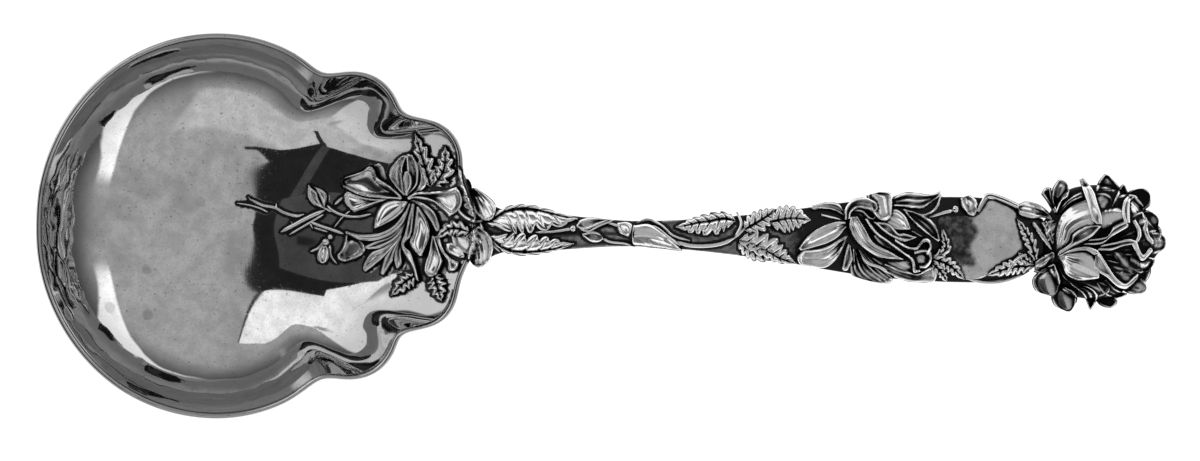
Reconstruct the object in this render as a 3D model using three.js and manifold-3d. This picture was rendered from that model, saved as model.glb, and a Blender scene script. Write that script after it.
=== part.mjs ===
// Silver serving spoon: a lobed bowl, an arched shank, and leaves, buds, twigs and roses soldered onto them.
// Sizes are millimetres. +X runs from the bowl to the rose at the end of the handle and +Z is up.
// The origin is the centre of the flat foot under the bowl, on the table.
import * as THREE from "three";
import { mergeVertices } from "three/addons/utils/BufferGeometryUtils.js";
import Module from "manifold-3d";

const wasm = await Module();
wasm.setup();

// The open seam between any two pieces, and how finely joined and cut edges are kept.
const SEAM = 0.3;
const CUT_TOLERANCE = 0.02;

// Bowl. Its outline is the smooth union of round lobes, each with a centre and a radius in plan.
const BOWL_DEPTH = 16;
const BOWL_WALL = 1.0;
const RIM_BEAD = 0.45;
const TOE_LOBE = { x: 0.4, y: 0, r: 38.5 };
const SHOULDER_LOBE = { x: 26.3, y: 22.2, r: 9.8 };
const HEEL_LOBE = { x: 38.2, y: 11.6, r: 10.4 };
const NECK_LOBE = { x: 36, y: 0, r: 15 };
const NOTCH_SOFTNESS = 0.8;

// The floor is flat out to this share of the way to the rim, then dishes and turns up into the wall.
const FOOT_SHARE = 0.26;
const DISH_SHARE = 0.2;
const SIDE_TURN = 4.2;
const TOE_TURN = 3.2;
const HEEL_TURN = 2.3;

// Shank. Each row is a place along X with the half width, the crown and the belly of the section there.
const SHANK_END = 166;
const SHANK_EDGE = 0.9;
const APEX_HEIGHT = 22.5;
const NECK_DROP = 1.6;
const TONGUE_DROP = 0.8;
const SHANK_SECTIONS = [
  { x: 39, half: 1.6, crown: 0.5, belly: 0.3 },
  { x: 46, half: 4.6, crown: 0.8, belly: 0.7 },
  { x: 52, half: 5.8, crown: 1.2, belly: 1.2 },
  { x: 57, half: 4.2, crown: 1.4, belly: 1.4 },
  { x: 66, half: 3.7, crown: 1.4, belly: 1.4 },
  { x: 84, half: 2.6, crown: 1.4, belly: 1.2 },
  { x: 108, half: 4.5, crown: 1.2, belly: 1.0 },
  { x: 130, half: 7.7, crown: 1.2, belly: 0.9 },
  { x: 150, half: 8.7, crown: 1.2, belly: 0.9 },
  { x: 160, half: 7.6, crown: 1.2, belly: 0.9 },
  { x: SHANK_END, half: 4.4, crown: 1.2, belly: 0.9 },
];

// Relief. A casting stands on an edge this thick, and its section is drawn at these shares of the half width.
const RELIEF_EDGE = 0.35;
const ACROSS = [-1, -0.55, 0, 0.55, 1];
const LEAF = { peak: 0.4, fullness: 0.75, root: 0.2, tip: 0.07, section: [0.25, 1, 0.5, 1, 0.25] };
const PETAL = { peak: 0.66, fullness: 0.6, root: 0.22, tip: 0.3, section: [1, 0.5, 0.35, 0.5, 1] };
const BUD = { peak: 0.42, fullness: 0.6, root: 0.3, tip: 0.12, section: [0.15, 0.8, 1, 0.8, 0.15] };
const TWIG = { peak: 0.5, fullness: 0.1, root: 0.6, tip: 0.5, section: [0.2, 0.85, 1, 0.85, 0.2] };
const BUDDED = { peak: 0.8, fullness: 2.5, root: 0.35, tip: 0.3, section: [0.15, 0.8, 1, 0.8, 0.15] };
const PLAQUE = { peak: 0.5, fullness: 0.5, root: 0.12, tip: 0.12, section: [0.2, 0.85, 1, 0.85, 0.2] };
const LEAF_RISE = 0.9;
const PLAQUE_RISE = 0.35;
const TOOTH_DEPTH = 0.2;
const VALLEY_REACH = 0.7;
const RIM_REACH = 0.94;
const HEART_SHARE = 0.45;
const HEART_CUP = 0.66;

// Rose at the end of the handle. Its petals are nested shells about an axis along X, flattened in height.
const ROSE_FLATTEN = 0.5;
const PETAL_SHEET = 1.1;
const SEPAL_SHEET = 0.9;
const PETAL_TWIST = 0.13;
const ROSE_RADIUS = 12.6;
const ROSE_LENGTH = 24.2;

const mesh = new THREE.Group();
mesh.name = "spoon";

const SILVER = { color: 0xc9c9c6, roughness: 0.12, metalness: 1 };
const OXIDISED = { color: 0x8b8a87, roughness: 0.3, metalness: 1 };

// A flat end of a ring solid, fanned from its middle.
function hubEnd(points, start, count) {
  const ring = points.slice(start, start + count);
  const middle = ring.reduce((sum, p) => sum.add(p), new THREE.Vector3()).divideScalar(count);
  const hub = points.push(middle) - 1;
  return ring.flatMap((_, j) => [hub, start + j, start + ((j + 1) % count)]);
}

// A bent end of a sheet, bridged from its outer edge to its inner edge.
function bandEnd(points, start, count) {
  const faces = [];
  for (let j = 0; j + 1 < count / 2; j += 1) {
    const [a, b, c, d] = [j, j + 1, count - 2 - j, count - 1 - j].map((k) => start + k);
    faces.push(a, b, c, a, c, d);
  }
  return faces;
}

// A closed skin over matching rings of points, with both ends closed and the faces turned outward.
function ringSolid(rings, endFaces = hubEnd) {
  const count = rings[0].length;
  const points = rings.flat();
  const faces = [];
  for (let i = 0; i + 1 < rings.length; i += 1) {
    for (let j = 0; j < count; j += 1) {
      const a = i * count + j;
      const b = i * count + ((j + 1) % count);
      faces.push(a, b, b + count, a, b + count, a + count);
    }
  }
  const last = points.length - count;
  faces.push(...endFaces(points, 0, count).reverse(), ...endFaces(points, last, count));
  const side = new THREE.Vector3();
  let volume = 0;
  for (let i = 0; i < faces.length; i += 3) {
    volume += side.crossVectors(points[faces[i + 1]], points[faces[i + 2]]).dot(points[faces[i]]);
  }
  const geometry = new THREE.BufferGeometry().setFromPoints(points);
  geometry.setIndex(volume > 0 ? faces : faces.reverse());
  return geometry;
}

function toSolid(geometry) {
  const bare = mergeVertices(geometry, 1e-4);
  return new wasm.Manifold(new wasm.Mesh({
    numProp: 3,
    vertProperties: bare.attributes.position.array,
    triVerts: new Uint32Array(bare.index.array),
    tolerance: CUT_TOLERANCE,
  }));
}

function toGeometry(solid) {
  const cut = solid.getMesh();
  const geometry = new THREE.BufferGeometry();
  geometry.setAttribute("position", new THREE.BufferAttribute(new Float32Array(cut.vertProperties), 3));
  geometry.setIndex(Array.from(cut.triVerts));
  return geometry;
}

// The largest of the bodies that a cut leaves.
function largest(solid) {
  return solid.decompose().reduce((best, body) => (body.volume() > best.volume() ? body : best));
}

function place(name, geometry, finish) {
  const piece = new THREE.Mesh(geometry, new THREE.MeshStandardMaterial(finish));
  piece.name = name;
  mesh.add(piece);
}

// A smooth curve through rows of [place, value], read at one place.
function through(rows, at) {
  const last = rows.length - 2;
  const i = Math.min(last, Math.max(0, rows.findIndex((row) => row[0] > at) - 1));
  const k = at >= rows[last + 1][0] ? last : i;
  const slope = (j) => {
    const a = rows[Math.max(0, j - 1)];
    const b = rows[Math.min(last + 1, j + 1)];
    return (b[1] - a[1]) / (b[0] - a[0]);
  };
  const [[x0, y0], [x1, y1]] = [rows[k], rows[k + 1]];
  const t = THREE.MathUtils.clamp((at - x0) / (x1 - x0), 0, 1);
  const bend = (x1 - x0) * t * (1 - t);
  return y0 + (y1 - y0) * t * t * (3 - 2 * t) + bend * ((1 - t) * slope(k) - t * slope(k + 1));
}

// The bowl's rim in plan: how far out each lobe reaches along a ray, joined by a smooth maximum.
const LOBES = [TOE_LOBE, NECK_LOBE];
for (const lobe of [SHOULDER_LOBE, HEEL_LOBE]) {
  LOBES.push(lobe, { ...lobe, y: -lobe.y });
}

function rimRadius(angle) {
  let sum = 0;
  for (const lobe of LOBES) {
    const along = lobe.x * Math.cos(angle) + lobe.y * Math.sin(angle);
    const beside = lobe.y * Math.cos(angle) - lobe.x * Math.sin(angle);
    if (Math.abs(beside) < lobe.r) {
      sum += Math.exp((along + Math.sqrt(lobe.r ** 2 - beside ** 2)) / NOTCH_SOFTNESS);
    }
  }
  return NOTCH_SOFTNESS * Math.log(sum);
}

// Height of the bowl's inside over a point in plan.
function dish(x, y) {
  const angle = Math.atan2(y, x);
  const share = Math.min(1, Math.hypot(x, y) / rimRadius(angle));
  const up = Math.max(0, (share - FOOT_SHARE) / (1 - FOOT_SHARE));
  const heel = ((1 + Math.cos(angle)) / 2) ** 8;
  const toe = ((1 - Math.cos(angle)) / 2) ** 4;
  const turn = SIDE_TURN + (HEEL_TURN - SIDE_TURN) * heel + (TOE_TURN - SIDE_TURN) * toe;
  return BOWL_WALL + BOWL_DEPTH * (DISH_SHARE * up ** 2 + (1 - DISH_SHARE) * up ** turn);
}

function dishNormal(x, y) {
  const step = 0.02;
  const angle = Math.atan2(y, x);
  const out = (dish(x, y) - dish(x - step * Math.cos(angle), y - step * Math.sin(angle))) / step;
  const [sideX, sideY] = [-step * Math.sin(angle), step * Math.cos(angle)];
  const round = (dish(x + sideX, y + sideY) - dish(x - sideX, y - sideY)) / (2 * step);
  const [c, s] = [Math.cos(angle), Math.sin(angle)];
  return new THREE.Vector3(-out * c + round * s, -out * s - round * c, 1).normalize();
}

// Rays round the bowl, closer together where the lobes are.
function bowlAngles() {
  const span = 1.25;
  const heelRays = 48;
  const toeRays = 26;
  const angles = [];
  for (let i = 0; i < heelRays; i += 1) {
    angles.push(-span + (2 * span * i) / heelRays);
  }
  for (let i = 0; i < toeRays; i += 1) {
    angles.push(span + ((2 * Math.PI - 2 * span) * i) / toeRays);
  }
  return angles;
}

// One ring of the bowl at a share of the way to the rim, moved along the wall's own normal.
function bowlRing(share, offset, lift = 0) {
  return bowlAngles().map((angle) => {
    const radius = share * rimRadius(angle);
    const [x, y] = [radius * Math.cos(angle), radius * Math.sin(angle)];
    return new THREE.Vector3(x, y, dish(x, y)).addScaledVector(dishNormal(x, y), offset)
      .add(new THREE.Vector3(Math.cos(angle), Math.sin(angle), 1).multiplyScalar(lift));
  });
}

const RINGS_UP_WALL = [0, 0.18, 0.34, 0.48, 0.6, 0.71, 0.81, 0.91, 1];
const RING_SHARES = RINGS_UP_WALL.map((up) => FOOT_SHARE + (1 - FOOT_SHARE) * up);

function bowl() {
  const inside = RING_SHARES.map((share) => bowlRing(share, 0));
  const outside = RING_SHARES.map((share) => bowlRing(share, -BOWL_WALL));
  const bead = bowlRing(1, -BOWL_WALL / 2, RIM_BEAD);
  return ringSolid([...inside, bead, ...outside.reverse()]);
}

// Everything over the bowl's outside, with the seam: what the shank must keep clear of.
function bowlKeepOut() {
  const outside = RING_SHARES.map((share) => bowlRing(share, -BOWL_WALL - SEAM));
  const rim = outside.at(-1).map((p) => {
    const reach = (Math.hypot(p.x, p.y) + RIM_BEAD + SEAM) / Math.hypot(p.x, p.y);
    return new THREE.Vector3(p.x * reach, p.y * reach, p.z + RIM_BEAD);
  });
  const lid = rim.map((p) => new THREE.Vector3(p.x, p.y, 3 * BOWL_DEPTH));
  return toSolid(ringSolid([...outside, rim, lid]));
}

// Shank: its spine rises from under the bowl, arches over and comes down to the rose.
const SHANK_START = SHANK_SECTIONS[0].x;
const NECK_X = NECK_LOBE.x + NECK_LOBE.r;
const ROSE_HEIGHT = ROSE_FLATTEN * ROSE_RADIUS;
const bowlUnder = (x) => dish(x, 0) - BOWL_WALL / dishNormal(x, 0).z;
const TONGUE_X = (SHANK_START + NECK_X) / 2;
const SPINE = [
  [SHANK_START, bowlUnder(SHANK_START) - TONGUE_DROP],
  [TONGUE_X, bowlUnder(TONGUE_X) - TONGUE_DROP],
  [NECK_X + 2, BOWL_DEPTH + BOWL_WALL - NECK_DROP],
  [NECK_X + 17, BOWL_DEPTH + 0.75 * (APEX_HEIGHT - BOWL_DEPTH)],
  [NECK_X + 40, APEX_HEIGHT],
  [NECK_X + 72, APEX_HEIGHT - 0.36 * (APEX_HEIGHT - ROSE_HEIGHT)],
  [SHANK_END, ROSE_HEIGHT],
];

function shankAt(x) {
  const read = (key) => through(SHANK_SECTIONS.map((row) => [row.x, row[key]]), x);
  return { spine: through(SPINE, x), half: read("half"), crown: read("crown"), belly: read("belly") };
}

function shankTop(x, y) {
  const { spine, half, crown } = shankAt(x);
  return spine + SHANK_EDGE / 2 + crown * (1 - (y / half) ** 2);
}

function shank() {
  const rings = [];
  const steps = 35;
  const shares = [-1, -0.7, -0.3, 0.3, 0.7, 1];
  for (let i = 0; i <= steps; i += 1) {
    const x = THREE.MathUtils.lerp(SHANK_START, SHANK_END, i / steps);
    const { spine, half, crown, belly } = shankAt(x);
    const side = (height, swell) => shares.map((s) => (
      new THREE.Vector3(x, s * half, spine + height + swell * (1 - s * s))
    ));
    const top = side(SHANK_EDGE / 2, crown);
    const under = side(-SHANK_EDGE / 2, -belly);
    rings.push([...top, ...under.reverse()]);
  }
  return toGeometry(largest(toSolid(ringSolid(rings)).subtract(bowlKeepOut())));
}

// What a casting lies on: the bowl inside the rim, the shank past it.
function ground(x, y) {
  const past = Math.hypot(x, y) - rimRadius(Math.atan2(y, x));
  const share = THREE.MathUtils.smoothstep(past, -0.3, 1);
  return share === 0 ? dish(x, y) : THREE.MathUtils.lerp(dish(x, y) + RIM_BEAD, shankTop(x, y), share);
}

// One blade of relief: a path in plan, a half width that swells along it, and a section on the ground below.
function blade(kind, { path, half, rise, teeth = 0 }) {
  const curve = new THREE.SplineCurve(path.map(([x, y]) => new THREE.Vector2(x, y)));
  const steps = teeth > 0 ? 2 * teeth : 2 * path.length;
  const skew = Math.log(0.5) / Math.log(kind.peak);
  const rings = [];
  for (let i = 0; i <= steps; i += 1) {
    const t = i / steps;
    const swell = Math.sin(Math.PI * t ** skew) ** kind.fullness || 0;
    const notch = teeth > 0 && i % 2 === 0 ? 1 - TOOTH_DEPTH : 1;
    const width = half * notch * Math.max(t < 0.5 ? kind.root : kind.tip, swell);
    const high = kind === PETAL ? 0.4 + 0.6 * t : 0.5 + 0.5 * Math.sin(Math.PI * t);
    const top = (j) => RELIEF_EDGE + rise * high * kind.section[j];
    rings.push(bladeRing(curve, t, width, top, SEAM));
  }
  return toSolid(ringSolid(rings));
}

function bladeRing(curve, t, width, topOver, underOver) {
  const middle = curve.getPoint(t);
  const along = curve.getTangent(t);
  const spots = ACROSS.map((s) => [middle.x - along.y * width * s, middle.y + along.x * width * s]);
  const top = spots.map(([x, y], j) => new THREE.Vector3(x, y, ground(x, y) + SEAM + topOver(j)));
  const under = [4, 2, 0].map((j) => new THREE.Vector3(...spots[j], ground(...spots[j]) + underOver));
  return [...top, ...under];
}

// The room that a blade takes in plan, with the seam round it, from under the ground to far over it.
function bladeKeepOut(kind, { path, half }) {
  const curve = new THREE.SplineCurve(path.map(([x, y]) => new THREE.Vector2(x, y)));
  const steps = 2 * path.length;
  const skew = Math.log(0.5) / Math.log(kind.peak);
  const rings = [];
  for (let i = -1; i <= steps + 1; i += 1) {
    const t = THREE.MathUtils.clamp(i / steps, 0, 1);
    const swell = Math.sin(Math.PI * t ** skew) ** kind.fullness || 0;
    const width = half * Math.max(t < 0.5 ? kind.root : kind.tip, swell) + SEAM;
    const ring = bladeRing(curve, t, width, () => 12, -3);
    const past = curve.getTangent(t).multiplyScalar((i < 0 ? -SEAM : 0) + (i > steps ? SEAM : 0));
    rings.push(ring.map((p) => p.add(new THREE.Vector3(past.x, past.y, 0))));
  }
  return toSolid(ringSolid(rings));
}

// Castings in the order they overlie each other: each one is trimmed where an earlier one already lies.
const laid = [];

function lay(name, solid, room, finish) {
  const clear = laid.reduce((rest, earlier) => rest.subtract(earlier), solid);
  laid.push(room);
  place(name, toGeometry(largest(clear)), finish);
}

function casting(name, kind, shape, finish = OXIDISED) {
  lay(name, blade(kind, shape), bladeKeepOut(kind, shape), finish);
}

const leaf = (name, path, half, teeth) => casting(name, LEAF, { path, half, teeth, rise: LEAF_RISE });
const bud = (name, path, half, rise) => casting(name, BUD, { path, half, rise });
const stemmedBud = (name, path, half, rise) => casting(name, BUDDED, { path, half, rise });
const curl = (name, path, half, rise) => casting(name, PETAL, { path, half, rise });
const twig = (name, path, half, rise) => casting(name, TWIG, { path, half, rise });

// A rose in relief: petals fan out from a hub to their tips, each cupped between two raised rims.
// Each petal gives four rays: the valley beside it, one rim, its middle and the other rim.
function fanRays(hub, tips) {
  const petals = tips.map(([x, y]) => ({
    angle: Math.atan2(y - hub[1], x - hub[0]),
    reach: Math.hypot(x - hub[0], y - hub[1]),
  })).sort((a, b) => a.angle - b.angle);
  return petals.flatMap((petal, i) => {
    const before = petals.at(i - 1);
    const after = petals[(i + 1) % petals.length];
    const back = (petal.angle - before.angle + 2 * Math.PI) % (2 * Math.PI);
    const ahead = (after.angle - petal.angle + 2 * Math.PI) % (2 * Math.PI);
    return [
      { angle: petal.angle - back / 2, reach: VALLEY_REACH * Math.min(petal.reach, before.reach), end: 0.1 },
      { angle: petal.angle - 0.32 * back, reach: RIM_REACH * petal.reach, end: 1 },
      { angle: petal.angle, reach: petal.reach, end: 0.6 },
      { angle: petal.angle + 0.32 * ahead, reach: RIM_REACH * petal.reach, end: 1 },
    ];
  });
}

function fan({ hub, tips, rise }, shrink, grow, topOver, underOver) {
  const rays = fanRays(hub, tips);
  const ring = (share, over) => rays.map(({ angle, reach, end }) => {
    const out = share * (shrink * reach + grow);
    const [x, y] = [hub[0] + out * Math.cos(angle), hub[1] + out * Math.sin(angle)];
    return new THREE.Vector3(x, y, ground(x, y) + SEAM + over(end, share));
  });
  const top = [0.1, 0.4, 0.75, 1].map((share) => ring(share, (end, v) => topOver + rise * end * v));
  const under = [1, 0.8, 0.55, 0.2].map((share) => ring(share, () => underOver));
  return toSolid(ringSolid([...top, ...under]));
}

// The outer petals lie on the ground; the heart is a smaller fan that stands in their cup.
function roseCasting(name, shape) {
  lay(name, fan(shape, 1, 0, RELIEF_EDGE, 0), fan(shape, 1, SEAM, 12, -3), OXIDISED);
  const over = RELIEF_EDGE + HEART_CUP * shape.rise + SEAM;
  const heart = { ...shape, rise: 0.6 * shape.rise, tips: shape.tips.filter((_, i) => i % 2 === 0) };
  place(`${name}_heart`, toGeometry(fan(heart, HEART_SHARE, 0, over + RELIEF_EDGE, over)), OXIDISED);
}

function bowlSpray() {
  roseCasting("bowl_rose", {
    hub: [36.2, 3.6],
    rise: 2,
    tips: [
      [23.8, 8], [28.6, 11.6], [34.4, 13.2], [39.2, 12], [45.2, 6], [44, -0.8], [44, -8.6],
      [38.8, -11], [33.2, -9], [29, -8.4], [26.4, -4.4], [23.6, -0.6],
    ],
  });
  leaf("bowl_leaf_upper", [[41.6, 9], [40, 13.4], [38.4, 19]], 1.9, 6);
  leaf("bowl_leaf_upper_heel", [[43.4, 8.6], [44.4, 12.4], [44.4, 16.4]], 2, 6);
  leaf("bowl_leaf_lower", [[37.4, -11.6], [35.6, -12.8], [33, -14.4]], 1.6, 5);
  leaf("bowl_leaf_lower_heel", [[42, -10], [43, -12.6], [43.8, -15]], 1.7, 5);
  leaf("bowl_leaf_side", [[49, 0], [47.6, -0.5], [45, -1.2]], 1.3, 5);
  stemmedBud("bud_upper", [[23.4, 3.2], [20.6, 4], [18.6, 5.8], [16.2, 8.8]], 1.5, 1.6);
  bud("bud_bell", [[21, -2.4], [20.2, -5], [19.6, -7.4]], 1.5, 1.6);
  curl("bud_petal", [[23, -2.2], [24.6, -4.4], [26, -7.2]], 1.3, 1.2);
  twig("twig_thorned", [[10, -0.8], [14.4, 1], [18.2, 3.2]], 0.6, 0.8);
  twig("twig_lower", [[16.8, 1.2], [19.6, -0.2], [22.2, -1.2]], 0.45, 0.6);
  twig("twig_upper", [[4.6, 5.6], [9.6, 4], [14, 2.4]], 0.42, 0.6);
  twig("twig_far", [[2.2, 4], [6.4, 3.2], [10.4, 2.4]], 0.34, 0.5);
}

function neckLeaves() {
  leaf("heel_leaf", [[48.2, 2.2], [47.2, 6.4], [45.2, 10.6]], 1.2, 7);
  bud("heel_bud", [[54.8, 1.4], [53.6, 3.2], [53, 5.4]], 1, 1.3);
  curl("heel_curl", [[54.6, -1.2], [53.6, -3], [53, -5]], 1, 1);
  leaf("neck_leaf_upper", [[55.6, 2], [63, 3.2], [71.6, 3]], 2.3, 8);
  leaf("neck_leaf_lower", [[55.4, -1.2], [63, -3.2], [70.8, -2.6]], 2, 8);
  stemmedBud("neck_stem", [[61, 0], [67, 0.2], [73.4, 0.4]], 0.8, 0.9);
  curl("neck_curl_upper", [[78.4, 2], [75.6, 2.6], [73, 2.4]], 0.9, 1.1);
  curl("neck_curl_lower", [[78.4, -0.4], [75.8, -1.2], [73.4, -1.6]], 0.9, 1.1);
}

function shankVine() {
  bud("shank_bud", [[84, 1.4], [81.4, 1.2], [79.2, 0.6]], 1.3, 1.4);
  curl("shank_sheath", [[92.4, -2.2], [88.4, -1.4], [84.4, -0.8]], 1.8, 1.6);
  const vine = [[85, 2.6], [88.4, 2], [91.4, 0.3], [94.6, -0.9], [98.6, -1.5], [103.2, -0.5]];
  twig("shank_vine", vine, 0.55, 0.8);
  twig("shank_vine_branch", [[104, 0.4], [104.6, 2.6], [103.8, 4.6]], 0.5, 0.8);
  leaf("shank_leaf_tip", [[102.8, 2], [98, 2.6], [92.4, 2]], 1.8, 8);
  leaf("shank_leaf_upper", [[105.8, 3], [110, 4.3], [114.6, 5.4]], 2, 6);
  leaf("shank_leaf_middle", [[106, 0.2], [112, 1], [118.4, 3]], 1.5, 7);
  leaf("shank_leaf_lower", [[104.8, -1.8], [110, -3.3], [115, -5]], 1.8, 7);
}

function handleRose() {
  roseCasting("handle_rose", {
    hub: [127.4, 1.4],
    rise: 2,
    tips: [
      [124.6, 4], [116.8, -0.6], [117, -5.4], [125.6, -7.4], [130.6, -9], [137, -8.8], [143, -8],
      [142.6, -3.6], [144.4, 1.6], [144, 7.6], [134.8, 8.6], [129, 6.8],
    ],
  });
}

function cartouche() {
  const fromEnd = (...path) => path.map(([x, y]) => [SHANK_END - x, y]);
  leaf("cartouche_sprig_left", fromEnd([21, -3.6], [19.8, -0.6], [19.4, 2.6]), 1, 5);
  leaf("cartouche_leaf_low", fromEnd([21.2, -5.4], [18.6, -7], [15, -8]), 1.3, 6);
  stemmedBud("cartouche_sprig_upper", fromEnd([21, 5], [18.8, 5.6], [16.6, 7]), 0.8, 0.9);
  curl("cartouche_scroll", fromEnd([15.8, 7.6], [12.6, 8.1], [7.2, 7.6]), 0.9, 0.9);
  bud("cartouche_bud", fromEnd([1, 4.2], [3, 5.6], [5.6, 6.8]), 1.5, 1.2);
  leaf("cartouche_leaf_right", fromEnd([1.6, -2.8], [3, 0.2], [4.2, 3.4]), 1.3, 6);
  leaf("cartouche_leaf_base", fromEnd([1.6, -4.6], [6, -5.8], [11.4, -7.2]), 1.4, 7);
  const plaque = { path: fromEnd([18.6, 0.6], [12, 0.6], [5, 0.6]), half: 6.4, rise: PLAQUE_RISE };
  casting("cartouche_plaque", PLAQUE, plaque, SILVER);
}

// A point of the rose: how far along its axis, how far out, and at which turn from the top.
function rosePoint(along, out, turn) {
  return new THREE.Vector3(
    SHANK_END + SEAM + along,
    out * Math.sin(turn),
    ROSE_HEIGHT + ROSE_FLATTEN * out * Math.cos(turn),
  );
}

// One petal of the rose: a sheet swept round the axis, cupped along a curve from base to rim.
function rosePetal({ turn, spread, curve, sheet = PETAL_SHEET, round = 2 }) {
  const steps = 7;
  const shares = [-1, -0.55, 0, 0.55, 1];
  const rings = [];
  for (let i = 0; i <= steps; i += 1) {
    const v = i / steps;
    const middle = curve.getPoint(v);
    const along = curve.getTangent(v);
    const wide = spread * (0.55 + 0.45 * Math.sin(Math.PI * Math.min(0.5, 0.9 * v)));
    const layer = (depth) => shares.map((u) => {
      const sag = round * v * v * u * u;
      const at = turn + u * wide + PETAL_TWIST * v;
      return rosePoint(middle.x + along.y * depth - sag, middle.y - along.x * depth, at);
    });
    rings.push([...layer(0), ...layer(sheet).reverse()]);
  }
  return ringSolid(rings, bandEnd);
}

const roseCurve = (points) => new THREE.CubicBezierCurve(...points.map(([x, r]) => new THREE.Vector2(x, r)));

function roseLayer(name, count, firstTurn, gap, points, options = {}) {
  const curve = roseCurve(points);
  const spread = Math.PI / count - gap;
  for (let i = 0; i < count; i += 1) {
    const turn = firstTurn + (2 * Math.PI * i) / count;
    place(`${name}_${i + 1}`, rosePetal({ turn, spread, curve, ...options }), OXIDISED);
  }
}

function rose() {
  const rings = [];
  const outline = roseCurve([[0, 2.6], [8, 0.4], [10, 6.8], [ROSE_LENGTH - 3, 2.4]]);
  const steps = 10;
  const sides = 12;
  for (let i = 0; i <= steps; i += 1) {
    const { x, y } = outline.getPoint(i / steps);
    rings.push(Array.from({ length: sides }, (_, j) => rosePoint(x, y, (2 * Math.PI * j) / sides)));
  }
  place("rose_heart", ringSolid(rings), OXIDISED);
  const end = ROSE_LENGTH;
  roseLayer("rose_inner_petal", 3, 0, 0.06, [[4.4, 4.2], [8, 7.4], [end - 8, 6.2], [end, 8.2]]);
  roseLayer("rose_middle_petal", 5, 0, 0.05, [[3, 5.6], [6, 10.4], [end - 11, 8.2], [end - 3.4, 11]]);
  const outer = [[1.8, 7], [4, 12.4], [end - 13, 10], [end - 8.2, ROSE_RADIUS]];
  roseLayer("rose_outer_petal", 5, Math.PI / 5, 0.05, outer);
  const sepal = roseCurve([[0.2, 4.4], [0.6, 7], [0.8, 10], [3.2, ROSE_RADIUS]]);
  [1.2, 1.94, -1.2, -1.94].forEach((turn, i) => {
    const shape = { turn, spread: 0.3, curve: sepal, sheet: SEPAL_SHEET, round: 1 };
    place(`rose_sepal_${i + 1}`, rosePetal(shape), OXIDISED);
  });
}

place("bowl", bowl(), SILVER);
place("shank", shank(), SILVER);
bowlSpray();
neckLeaves();
shankVine();
handleRose();
cartouche();
rose();

export default mesh;
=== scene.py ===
# %% [markdown]
# # A silver serving spoon with roses on it
# The real spoon was struck from a sheet of silver: a round bowl whose heel
# breaks into lobes, and a slim arched shank. Flowers, leaves and twigs stand on
# it in low relief, and the handle ends in a full rose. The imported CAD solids
# give every place and size. The pieces below stand for those solids, with the
# finer forms and the finish that a silversmith would give them.

import math

import bmesh
import bpy
import numpy as np
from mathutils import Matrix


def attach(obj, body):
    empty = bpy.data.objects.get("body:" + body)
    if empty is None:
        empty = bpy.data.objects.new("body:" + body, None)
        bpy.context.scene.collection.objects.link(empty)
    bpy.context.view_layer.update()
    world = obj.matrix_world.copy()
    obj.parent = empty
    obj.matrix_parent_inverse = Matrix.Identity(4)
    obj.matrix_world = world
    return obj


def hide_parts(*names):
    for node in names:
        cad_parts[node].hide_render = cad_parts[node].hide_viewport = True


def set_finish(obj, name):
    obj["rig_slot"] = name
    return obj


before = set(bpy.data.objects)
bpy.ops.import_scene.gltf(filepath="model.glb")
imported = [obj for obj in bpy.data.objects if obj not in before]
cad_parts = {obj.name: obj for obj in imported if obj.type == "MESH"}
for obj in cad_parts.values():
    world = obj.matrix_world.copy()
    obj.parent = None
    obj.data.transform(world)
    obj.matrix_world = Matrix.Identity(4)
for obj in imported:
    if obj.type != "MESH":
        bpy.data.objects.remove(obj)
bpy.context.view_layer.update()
MM = 0.001

# %% [markdown]
# ## Smooth curves
# Nearly every outline here is a smooth curve through a few measured stations, the
# way a draughtsman lays a spline through pins. One helper gives the height of such
# a curve anywhere, and a second one eases from 0 to 1.

# %% Curve through stations
def through(stations, at):
    x, y = np.array(stations, float).T
    slope = np.gradient(y, x)
    slope[1:-1] = (y[2:] - y[:-2]) / (x[2:] - x[:-2])
    i = np.clip(np.searchsorted(x, at, side="right") - 1, 0, len(x) - 2)
    span = x[i + 1] - x[i]
    t = np.clip((at - x[i]) / span, 0, 1)
    return (y[i] * (1 + 2 * t) * (1 - t) ** 2 + slope[i] * span * t * (1 - t) ** 2
            + y[i + 1] * t * t * (3 - 2 * t) - slope[i + 1] * span * t * t * (1 - t))


def smooth_step(t):
    t = np.clip(t, 0, 1)
    return t * t * (3 - 2 * t)


print("half way up a curve:", through([(0, 0), (1, 2), (2, 2)], np.array([0.5]))[0].round(2))

# %% [markdown]
# ## The rim of the bowl
# Seen from above, the rim is an egg-shaped toe with five smaller lobes let into its
# heel. A polygon could be traced by hand, but arcs are how the die was laid out, so
# the toe is a curve through stations and each lobe a circle. A soft maximum joins
# them, and evening the result out a little rounds the notches.

# %% Toe, lobes and rim
TOE = [(0, 35), (50, 36.2), (60, 36.7), (70, 37.9), (90, 39.0), (120, 39.4), (150, 38.8), (180, 38.2)]
LOBES = [(25.7, 22.3, 9.7), (26.0, -21.1, 9.7), (39.5, 14.2, 8.6), (39.5, -12.4, 8.1), (36.2, 0.3, 15)]
NOTCH_SOFTNESS = 0.9
RIM_ROLL = 0.43
RIM_STEPS = 1440
RIM_REACHES = (10, 16, 24, 38, 56)
RIM_WINDOW = 180
RIM_ANGLES = np.linspace(-math.pi, math.pi, RIM_STEPS, endpoint=False)


def lobed_rim(angle):
    turn = np.degrees(np.abs((angle + math.pi) % (2 * math.pi) - math.pi))
    total = np.exp(through(TOE, turn) / NOTCH_SOFTNESS)
    for x, y, radius in LOBES:
        along = x * np.cos(angle) + y * np.sin(angle)
        beside = y * np.cos(angle) - x * np.sin(angle)
        reach = along + np.sqrt(np.maximum(radius**2 - beside**2, 0))
        total += np.where(np.abs(beside) < radius, np.exp(reach / NOTCH_SOFTNESS), 0)
    return NOTCH_SOFTNESS * np.log(total) - RIM_ROLL


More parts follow.
